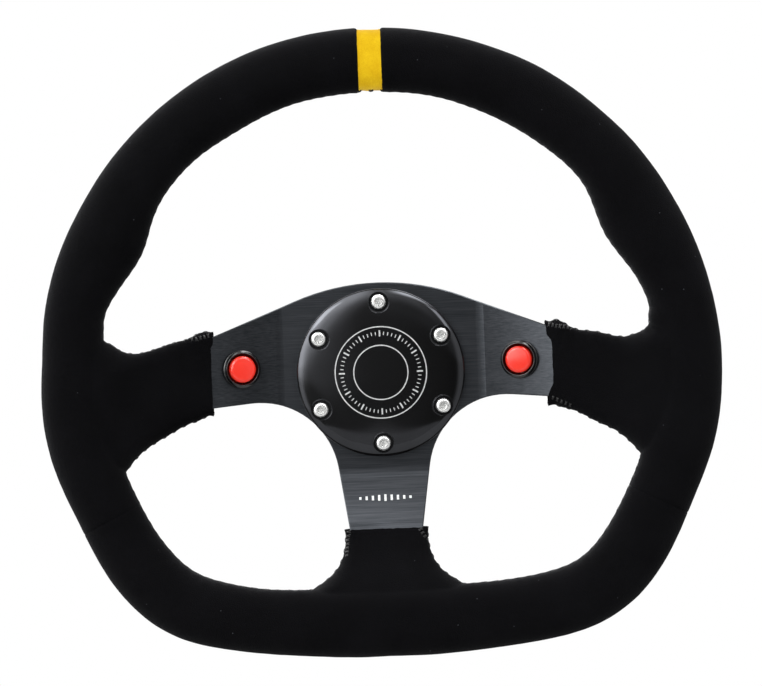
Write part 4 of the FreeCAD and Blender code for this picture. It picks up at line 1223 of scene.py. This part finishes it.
def printed_bar(x, y, z):
    """A thin bar of print about the origin, with its sizes along X, Y and Z, as a mesh."""
    bm = bmesh.new()
    bmesh.ops.create_cube(bm, size=1.0)
    bm.transform(Matrix.Diagonal((x, y, z, 1.0)))
    return mesh_of(bm, "bar")


def mark_tree():
    """A row of printed marks along X that are tallest in the middle."""
    tree, inputs, output = geometry_tree("printed_marks", {
        "Count": "NodeSocketInt", "Pitch": "NodeSocketFloat", "Material": "NodeSocketMaterial"})
    step = add_node(tree, "ShaderNodeCombineXYZ", inputs={"X": inputs.outputs["Pitch"]})
    line = add_node(tree, "GeometryNodeMeshLine", {"mode": "OFFSET"}, {
        "Count": inputs.outputs["Count"], "Offset": step.outputs[0]})
    last = add_node(tree, "ShaderNodeMath", {"operation": "SUBTRACT"}, {0: inputs.outputs["Count"], 1: 1.0})
    index = add_node(tree, "GeometryNodeInputIndex")
    share = add_node(tree, "ShaderNodeMath", {"operation": "DIVIDE"}, {
        0: index.outputs["Index"], 1: last.outputs[0]})
    centred = add_node(tree, "ShaderNodeMath", {"operation": "SUBTRACT"}, {0: share.outputs[0], 1: 0.5})
    away = add_node(tree, "ShaderNodeMath", {"operation": "ABSOLUTE"}, {0: centred.outputs[0]})
    height = add_node(tree, "ShaderNodeMath", {"operation": "MULTIPLY_ADD"}, {
        0: away.outputs[0], 1: -1.2, 2: 1.0})
    scale = add_node(tree, "ShaderNodeCombineXYZ", inputs={"X": 1.0, "Y": 1.0, "Z": height.outputs[0]})
    back = add_node(tree, "ShaderNodeMath", {"operation": "MULTIPLY"}, {0: last.outputs[0], 1: -0.5})
    half = add_node(tree, "ShaderNodeMath", {"operation": "MULTIPLY"}, {
        0: back.outputs[0], 1: inputs.outputs["Pitch"]})
    shift = add_node(tree, "ShaderNodeCombineXYZ", inputs={"X": half.outputs[0]})
    centred_line = add_node(tree, "GeometryNodeSetPosition", inputs={
        "Geometry": line.outputs["Mesh"], "Offset": shift.outputs[0]})
    marks = add_node(tree, "GeometryNodeInstanceOnPoints", inputs={
        "Points": centred_line.outputs["Geometry"], "Instance": inputs.outputs["Geometry"],
        "Scale": scale.outputs[0]})
    close_tree(tree, output, marks.outputs["Instances"], inputs)
    return tree


class WHEEL_OT_spokes(bpy.types.Operator):
    """Finish the brushed spoke sheet and print a row of marks on the lower spoke"""
    bl_idname = "wheel.spokes"
    bl_label = "Spokes"

    def execute(self, context):
        settings = context.scene.wheel_spokes
        dress("spoke_plate", brushed_finish(settings))
        ink = print_finish()
        proud = 0.08 * MM
        bar = printed_bar(1.1 * MM, proud, settings.mark_height)
        marks = grow(bar, mark_tree(), {
            "Count": settings.mark_count, "Pitch": settings.mark_pitch, "Material": ink})
        face_y = spoke_face(settings.mark_z, LOWER_SLOPE)
        lean = Matrix.Rotation(-LOWER_SLOPE, 4, "X")
        marks.transform(Matrix.Translation((0, face_y, -settings.mark_z)) @ lean)
        new_piece("lower_spoke_marks", marks, ink, "wheel")
        return {"FINISHED"}


# --------------------------------------------------------------------------------------------- cover

def crown_y(radius, settings):
    """Y of the cover's face at a radius: a slight crown that rolls down towards the edge."""
    share = min(1.0, radius / COVER_R)
    return COVER_FRONT_Y + settings.crown * share ** 2 + settings.edge_drop * share ** settings.edge_power


def cover_mesh(settings):
    """Crowned disc with a rounded edge and six chamfered counterbores."""
    steps = 90
    corner = 0.5 * MM
    # Steps close up towards the edge, where the face turns fastest
    face_r = COVER_R - 0.4 * corner
    radii = [face_r * math.sin(math.pi / 2 * step / steps) for step in range(steps + 1)]
    crown = [(radius, crown_y(radius, settings)) for radius in radii]
    shoulder = arc((COVER_R - corner, crown[-1][1] + 0.8 * corner), corner, -53, 0, 5)[1:]
    foot = 0.3 * MM
    profile = crown + shoulder + [(COVER_R, PLATE_FRONT_Y - foot), (COVER_R - foot, PLATE_FRONT_Y),
                                  (0, PLATE_FRONT_Y)]
    disc = mesh_of(lathe(profile, 192), "cover_disc")
    seat_y = SCREW_FRONT_Y + SCREW_HEAD_H
    mouth_y = crown_y(BOLT_CIRCLE_R, settings)
    chamfer = 0.5 * MM
    over = 2 * MM
    hole = [(0, PLATE_FRONT_Y + over), (SCREW_HOLE_R, PLATE_FRONT_Y + over), (SCREW_HOLE_R, seat_y),
            (settings.sink_r, seat_y), (settings.sink_r, mouth_y + chamfer),
            (settings.sink_r + chamfer, mouth_y), (settings.sink_r + chamfer + over, mouth_y - over),
            (0, mouth_y - over)]
    cutter = lathe(hole, 64)
    cutter.transform(Matrix.Translation((0, 0, BOLT_CIRCLE_R)))
    cutters = bmesh.new()
    for index in range(BOLT_COUNT):
        one = mesh_of(cutter.copy(), "hole")
        one.transform(Matrix.Rotation(2 * math.pi * index / BOLT_COUNT, 4, "Y"))
        cutters.from_mesh(one)
    cutter.free()
    return shade(carve(disc, mesh_of(cutters, "holes")), 24)


def dial_tree():
    """Printed ticks on a circle in the XZ plane, every fifth one longer."""
    tree, inputs, output = geometry_tree("printed_dial", {
        "Count": "NodeSocketInt", "Radius": "NodeSocketFloat", "Material": "NodeSocketMaterial"})
    circle = add_node(tree, "GeometryNodeMeshCircle", inputs={
        "Vertices": inputs.outputs["Count"], "Radius": inputs.outputs["Radius"]})
    place = add_node(tree, "GeometryNodeInputPosition")
    outward = add_node(tree, "FunctionNodeAlignRotationToVector", {"axis": "X", "pivot_axis": "Z"}, {
        "Vector": place.outputs["Position"]})
    index = add_node(tree, "GeometryNodeInputIndex")
    fifth = add_node(tree, "ShaderNodeMath", {"operation": "MODULO"}, {0: index.outputs["Index"], 1: 5.0})
    minor = add_node(tree, "ShaderNodeMath", {"operation": "GREATER_THAN"}, {0: fifth.outputs[0], 1: 0.5})
    length = add_node(tree, "ShaderNodeMapRange", inputs={
        "Value": minor.outputs[0], "To Min": 1.0, "To Max": 0.55})
    scale = add_node(tree, "ShaderNodeCombineXYZ", inputs={
        "X": length.outputs["Result"], "Y": length.outputs["Result"], "Z": 1.0})
    ticks = add_node(tree, "GeometryNodeInstanceOnPoints", inputs={
        "Points": circle.outputs["Mesh"], "Instance": inputs.outputs["Geometry"],
        "Rotation": outward.outputs["Rotation"], "Scale": scale.outputs[0]})
    close_tree(tree, output, ticks.outputs["Instances"], inputs)
    return tree


def printed_dial(settings, ink):
    """A thin ring and a circle of ticks that lie on the crowned face."""
    proud = 0.06 * MM
    ticks = grow(printed_bar(3.0 * MM, 0.75 * MM, proud), dial_tree(), {
        "Count": settings.tick_count, "Radius": settings.tick_r, "Material": ink})
    # The tree works in the XY plane; the dial stands in the XZ plane
    ticks.transform(Matrix.Rotation(math.radians(90), 4, "X"))
    bm = bmesh.new()
    bm.from_mesh(ticks)
    half = settings.ring_width / 2
    inner_ring_r = settings.ring_r - 9.2 * MM
    for middle in (settings.ring_r, inner_ring_r):
        profile = [(middle - half, 0), (middle + half, 0), (middle + half, proud), (middle - half, proud)]
        ring = mesh_of(lathe(profile, 160, closed=True), "ring")
        bm.from_mesh(ring)
    for vert in bm.verts:
        vert.co.y += crown_y(math.hypot(vert.co.x, vert.co.z), settings) - proud / 2
    return mesh_of(bm, "printed_dial")


def hexagon_cutter(flats, y_from, y_to):
    """A six-sided prism about the Y axis."""
    bm = bmesh.new()
    corner = flats / math.sqrt(3)
    bmesh.ops.create_cone(bm, cap_ends=True, segments=6, radius1=corner, radius2=corner, depth=y_to - y_from)
    bm.transform(Matrix.Translation((0, (y_from + y_to) / 2, 0)) @ Matrix.Rotation(math.radians(90), 4, "X"))
    return mesh_of(bm, "hexagon")


def screw_mesh():
    """A low-head socket screw about the Y axis with a rolled shoulder."""
    head_r, shank_r, tip_r, tip_h = 3.7 * MM, 2.45 * MM, 1.9 * MM, 0.6 * MM
    top = SCREW_FRONT_Y
    crown_r, drop = 2.3 * MM, 1.6 * MM
    head = []
    for step in range(11):
        turn = math.pi / 2 * step / 10
        head.append((crown_r + (head_r - crown_r) * math.sin(turn), top + drop * (1 - math.cos(turn))))
    profile = [(0, top)] + head + [(head_r, top + SCREW_HEAD_H), (shank_r, top + SCREW_HEAD_H),
                                   (shank_r, SCREW_BACK_Y - tip_h), (tip_r, SCREW_BACK_Y), (0, SCREW_BACK_Y)]
    body = mesh_of(lathe(profile, 64), "screw")
    # The socket has a chamfered mouth and six flats
    flats, depth, over = 3.2 * MM, 2.2 * MM, 1 * MM
    mouth_r, mouth_over, chamfer = 2.2 * MM, 0.2 * MM, 0.4 * MM
    mouth = [(0, top - mouth_over), (mouth_r, top - mouth_over),
             (mouth_r - mouth_over - chamfer, top + chamfer), (0, top + chamfer)]
    body = carve(body, hexagon_cutter(flats, top - over, top + depth))
    return carve(body, mesh_of(lathe(mouth, 48), "mouth"))


def bolt_circle_tree():
    """Copies of a piece turned about the hub axis."""
    tree, inputs, output = geometry_tree("bolt_circle", {
        "Count": "NodeSocketInt", "Radius": "NodeSocketFloat", "Material": "NodeSocketMaterial"})
    circle = add_node(tree, "GeometryNodeMeshCircle", inputs={
        "Vertices": inputs.outputs["Count"], "Radius": inputs.outputs["Radius"]})
    # The circle is made in the XY plane from +X; it is turned so that its first place is at the top
    stand = add_node(tree, "GeometryNodeTransform", inputs={
        "Geometry": circle.outputs["Mesh"], "Rotation": (math.radians(90), math.radians(-90), 0)})
    screws = add_node(tree, "GeometryNodeInstanceOnPoints", inputs={
        "Points": stand.outputs["Geometry"], "Instance": inputs.outputs["Geometry"]})
    close_tree(tree, output, screws.outputs["Instances"], inputs)
    return tree


class WHEEL_OT_cover(bpy.types.Operator):
    """Make the polished cover disc, its printed dial and its six screws"""
    bl_idname = "wheel.cover"
    bl_label = "Cover"

    def execute(self, context):
        settings = context.scene.wheel_cover
        new_piece("cover_disc", cover_mesh(settings), cover_finish(settings), "wheel",
                  ["cover_plate"])
        ink = print_finish()
        new_piece("printed_dial", shade(printed_dial(settings, ink)), ink, "wheel")
        # Zinc plated steel, bright and milky: the plating scatters, so it stays white from every side
        steel = metal_finish("zinc_plated_steel", "#D6D7D7", "#FAFAF8", 0.26, 0.9 * MM, 0.04 * MM,
                             metallic=0.75)
        screws = grow(screw_mesh(), bolt_circle_tree(), {
            "Count": BOLT_COUNT, "Radius": BOLT_CIRCLE_R, "Material": steel})
        new_piece("socket_screws", shade(screws), steel, "wheel", ["cover_screws"])
        return {"FINISHED"}


# ------------------------------------------------------------------------------------------- buttons

def at_button(mesh, side):
    """Place a mesh made about the Y axis, spoke face at y = 0, on a side spoke."""
    face_y = spoke_face(BUTTON_X, SIDE_SLOPE)
    turn = Matrix.Rotation(-side * SIDE_SLOPE, 4, "Z")
    mesh.transform(Matrix.Translation((side * BUTTON_X, face_y, BUTTON_Z)) @ turn)
    return mesh


def cap_mesh(settings):
    """A moulded cap: slightly crowned, with a rolled edge, a hollow skirt and a stem."""
    top, edge, crown = -5.0 * MM, 2.0 * MM, 0.3 * MM
    skirt, wall, roof = BUTTON_SPRING_FRONT, 1.2 * MM, 3 * MM
    stem_r, stem_end = 2.4 * MM, 9.9 * MM
    inner = settings.cap_r - edge
    face = [(inner * step / 8, top + crown * (step / 8) ** 2) for step in range(9)]
    rolled = arc((inner, top + crown + edge), edge, -85, 0, 8)
    under = [(settings.cap_r, skirt), (settings.cap_r - wall, skirt), (settings.cap_r - wall, top + roof),
             (stem_r, top + roof), (stem_r, stem_end), (0, stem_end)]
    return shade(mesh_of(lathe(face + rolled + under, 96), "cap"), 35)


def bezel_mesh(settings):
    """The housing: a coned bezel with a rounded rim, a barrel, and a web that guides the stem."""
    seal, rim, lip = -0.8 * MM, -1.7 * MM, -3.3 * MM
    bore, barrel, foot = 6.95 * MM, 8.0 * MM, 15 * MM
    web, web_back, guide = BUTTON_WEB, 9.5 * MM, 2.6 * MM
    round_r, crest_r = 0.5 * MM, 0.3 * MM
    outer = arc((settings.bezel_r - round_r, rim + round_r), round_r, -65, 0, 6)
    crest = arc((settings.lip_r, lip + crest_r), crest_r, -150, -40, 8)
    # Inside its crest the bezel falls back, which leaves a dark ring around the cap
    profile = [(bore, lip + 1.4 * MM)] + crest + outer + [
        (settings.bezel_r, seal), (barrel, seal), (barrel, foot), (bore, foot), (bore, web_back),
        (guide, web_back), (guide, web), (bore, web)]
    return shade(mesh_of(lathe(profile, 96, closed=True), "bezel"), 35)


def spring_tree():
    """A round-wire coil about the Z axis."""
    tree, inputs, output = geometry_tree("coil_spring", {
        "Radius": "NodeSocketFloat", "Height": "NodeSocketFloat", "Turns": "NodeSocketFloat",
        "Wire": "NodeSocketFloat", "Material": "NodeSocketMaterial"})
    spiral = add_node(tree, "GeometryNodeCurveSpiral", inputs={
        "Resolution": 40, "Rotations": inputs.outputs["Turns"], "Start Radius": inputs.outputs["Radius"],
        "End Radius": inputs.outputs["Radius"], "Height": inputs.outputs["Height"]})
    wire = add_node(tree, "GeometryNodeCurvePrimitiveCircle", inputs={
        "Resolution": 10, "Radius": inputs.outputs["Wire"]})
    tube = add_node(tree, "GeometryNodeCurveToMesh", inputs={
        "Curve": spiral.outputs["Curve"], "Profile Curve": wire.outputs["Curve"], "Fill Caps": True})
    close_tree(tree, output, tube.outputs["Mesh"], inputs)
    return tree


def spring_mesh(tree, radius, wire, y_from, y_to, turns, material):
    """A spring about the Y axis that just fits between two seats."""
    height = y_to - y_from - 2 * wire
    empty = mesh_of(bmesh.new(), "empty")
    coil = grow(empty, tree, {"Radius": radius, "Height": height, "Turns": turns, "Wire": wire,
                              "Material": material})
    coil.transform(Matrix.Translation((0, y_from + wire, 0)) @ Matrix.Rotation(math.radians(-90), 4, "X"))
    return shade(coil, 60)


class WHEEL_OT_buttons(bpy.types.Operator):
    """Make the red push buttons, their bezels and the switch parts behind the spokes"""
    bl_idname = "wheel.buttons"
    bl_label = "Buttons"

    def execute(self, context):
        settings = context.scene.wheel_buttons
        # Caps are ABS moulded in red; bezels are glossy black nylon, and the seals dull rubber
        red = cap_finish(settings)
        black = moulded_finish("black_nylon", "#060607", "#0C0C0D", 0.16, 0.5 * MM, 0.01 * MM)
        rubber = moulded_finish("black_rubber", "#0C0C0C", "#151515", 0.75, 0.4 * MM, 0.05 * MM)
        # Rolled brass has a satin yellow face, zinc plating on a nut a grey one, and drawn wire a dark sheen
        brass = metal_finish("stamped_brass", "#A98246", "#D9B36B", 0.32, 0.8 * MM, 0.02 * MM)
        steel = metal_finish("zinc_plated_nut", "#8F9193", "#B9BBBD", 0.34, 0.7 * MM, 0.03 * MM)
        wire = metal_finish("music_wire", "#6B6D70", "#A2A4A6", 0.28, 0.5 * MM, 0.02 * MM)
        tree = spring_tree()
        for side, word in ((-1, "left"), (1, "right")):
            body = f"button_{word}"
            new_piece(f"red_cap_{word}", at_button(cap_mesh(settings), side), red, body,
                      [f"button_cap_{word}"])
            new_piece(f"bezel_{word}", at_button(bezel_mesh(settings), side), black, "wheel",
                      [f"button_housing_{word}"])
            coil = spring_mesh(tree, 3.6 * MM, 0.35 * MM, BUTTON_SPRING_FRONT, BUTTON_WEB, 3.0, wire)
            spring = new_piece(f"return_spring_{word}", at_button(coil, side), wire, "wheel",
                               [f"button_spring_{word}"])
            self.squash_spring(spring, side, word)
            for part, finish in (("seal", rubber), ("nut", steel), ("contact", brass),
                                 ("terminals", brass), ("base", black)):
                dress(f"button_{part}_{word}", finish)
        return {"FINISHED"}

    def squash_spring(self, spring, side, word):
        """Give a button's spring a mesh of its own."""
        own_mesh(spring)


# ------------------------------------------------------------------------------------------- release

class WHEEL_OT_release(bpy.types.Operator):
    """Finish the column hub, the release hub, the collar, the balls and the spring"""
    bl_idname = "wheel.release"
    bl_label = "Release hub"

    def execute(self, context):
        # Hard anodised aluminium: dull black, with lathe rings about 0.9 mm apart
        hub = metal_finish("hard_anodised_aluminium", "#17181A", "#26272A", 0.42, 0.9 * MM, 0.02 * MM,
                           stretch=(0.2, 1.0, 0.2))
        # Clear anodised: pale and satin, with the same kind of rings
        collar = metal_finish("turned_clear_anodised_aluminium", "#9EA1A4", "#C6C9CC", 0.3, 0.8 * MM,
                              0.02 * MM, stretch=(0.1, 1.0, 0.1))
        # Ground balls are near mirrors, and oil darkens the spring's wire
        ball = metal_finish("ground_bearing_steel", "#B4B5B7", "#D2D3D4", 0.1, 1.5 * MM, 0.004 * MM)
        wire = metal_finish("oiled_spring_steel", "#55575A", "#8B8D90", 0.3, 0.6 * MM, 0.02 * MM)
        finishes = {"column_hub": hub, "release_body": hub, "release_collar": collar, "snap_ring": wire}
        finishes.update({f"locking_ball_{index + 1}": ball for index in range(BALL_COUNT)})
        for name, finish in finishes.items():
            dress(name, finish)
        low, high = RELEASE_SPRING_LOW, RELEASE_SPRING_HIGH
        wire_r = 0.75 * MM
        coil = spring_mesh(spring_tree(), high.x - wire_r, wire_r, low.y, high.y, 3.0, wire)
        spring = new_piece("collar_spring", coil, wire, "wheel", ["release_spring"])
        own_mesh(spring)
        return {"FINISHED"}


class WHEEL_OT_core(bpy.types.Operator):
    """Finish the aluminium ring and the rivets inside the grip"""
    bl_idname = "wheel.core"
    bl_label = "Core"

    def execute(self, context):
        # Mill finish bar: a fine grain in two tones
        bar = metal_finish("mill_finish_aluminium", "#A9ABAD", "#CBCDCF", 0.4, 1.2 * MM, 0.03 * MM)
        dress("rim_core", bar)
        dress("spoke_rivets", bar)
        return {"FINISHED"}


# ---------------------------------------------------------------------------------- panel and running

class WHEEL_PT_panel(bpy.types.Panel):
    """Buttons that make each group of pieces"""
    bl_idname = "WHEEL_PT_panel"
    bl_label = "Quick Release Wheel"
    bl_space_type = "VIEW_3D"
    bl_region_type = "UI"
    bl_category = "Wheel"

    def draw(self, context):
        for operator in OPERATORS:
            self.layout.operator(operator.bl_idname)


SETTINGS = {
    "wheel_grip": GripSettings, "wheel_band": BandSettings, "wheel_spokes": SpokeSettings,
    "wheel_cover": CoverSettings, "wheel_buttons": ButtonSettings, "wheel_stage": StageSettings,
}
OPERATORS = (WHEEL_OT_stage, WHEEL_OT_grip, WHEEL_OT_spokes, WHEEL_OT_cover, WHEEL_OT_buttons,
             WHEEL_OT_release, WHEEL_OT_core)


def register():
    """Register the settings, the operators and the panel."""
    for name, group in SETTINGS.items():
        bpy.utils.register_class(group)
        setattr(bpy.types.Scene, name, bpy.props.PointerProperty(type=group))
    for item in OPERATORS + (WHEEL_PT_panel,):
        bpy.utils.register_class(item)


def unregister():
    """Take everything back out."""
    for item in (WHEEL_PT_panel,) + OPERATORS[::-1]:
        bpy.utils.unregister_class(item)
    for name, group in SETTINGS.items():
        delattr(bpy.types.Scene, name)
        bpy.utils.unregister_class(group)


def main():
    """Build the stage and every piece."""
    register()
    bpy.ops.wheel.stage()
    bpy.ops.wheel.grip()
    bpy.ops.wheel.spokes()
    bpy.ops.wheel.cover()
    bpy.ops.wheel.buttons()
    bpy.ops.wheel.release()
    bpy.ops.wheel.core()


if __name__ == "__main__":
    main()
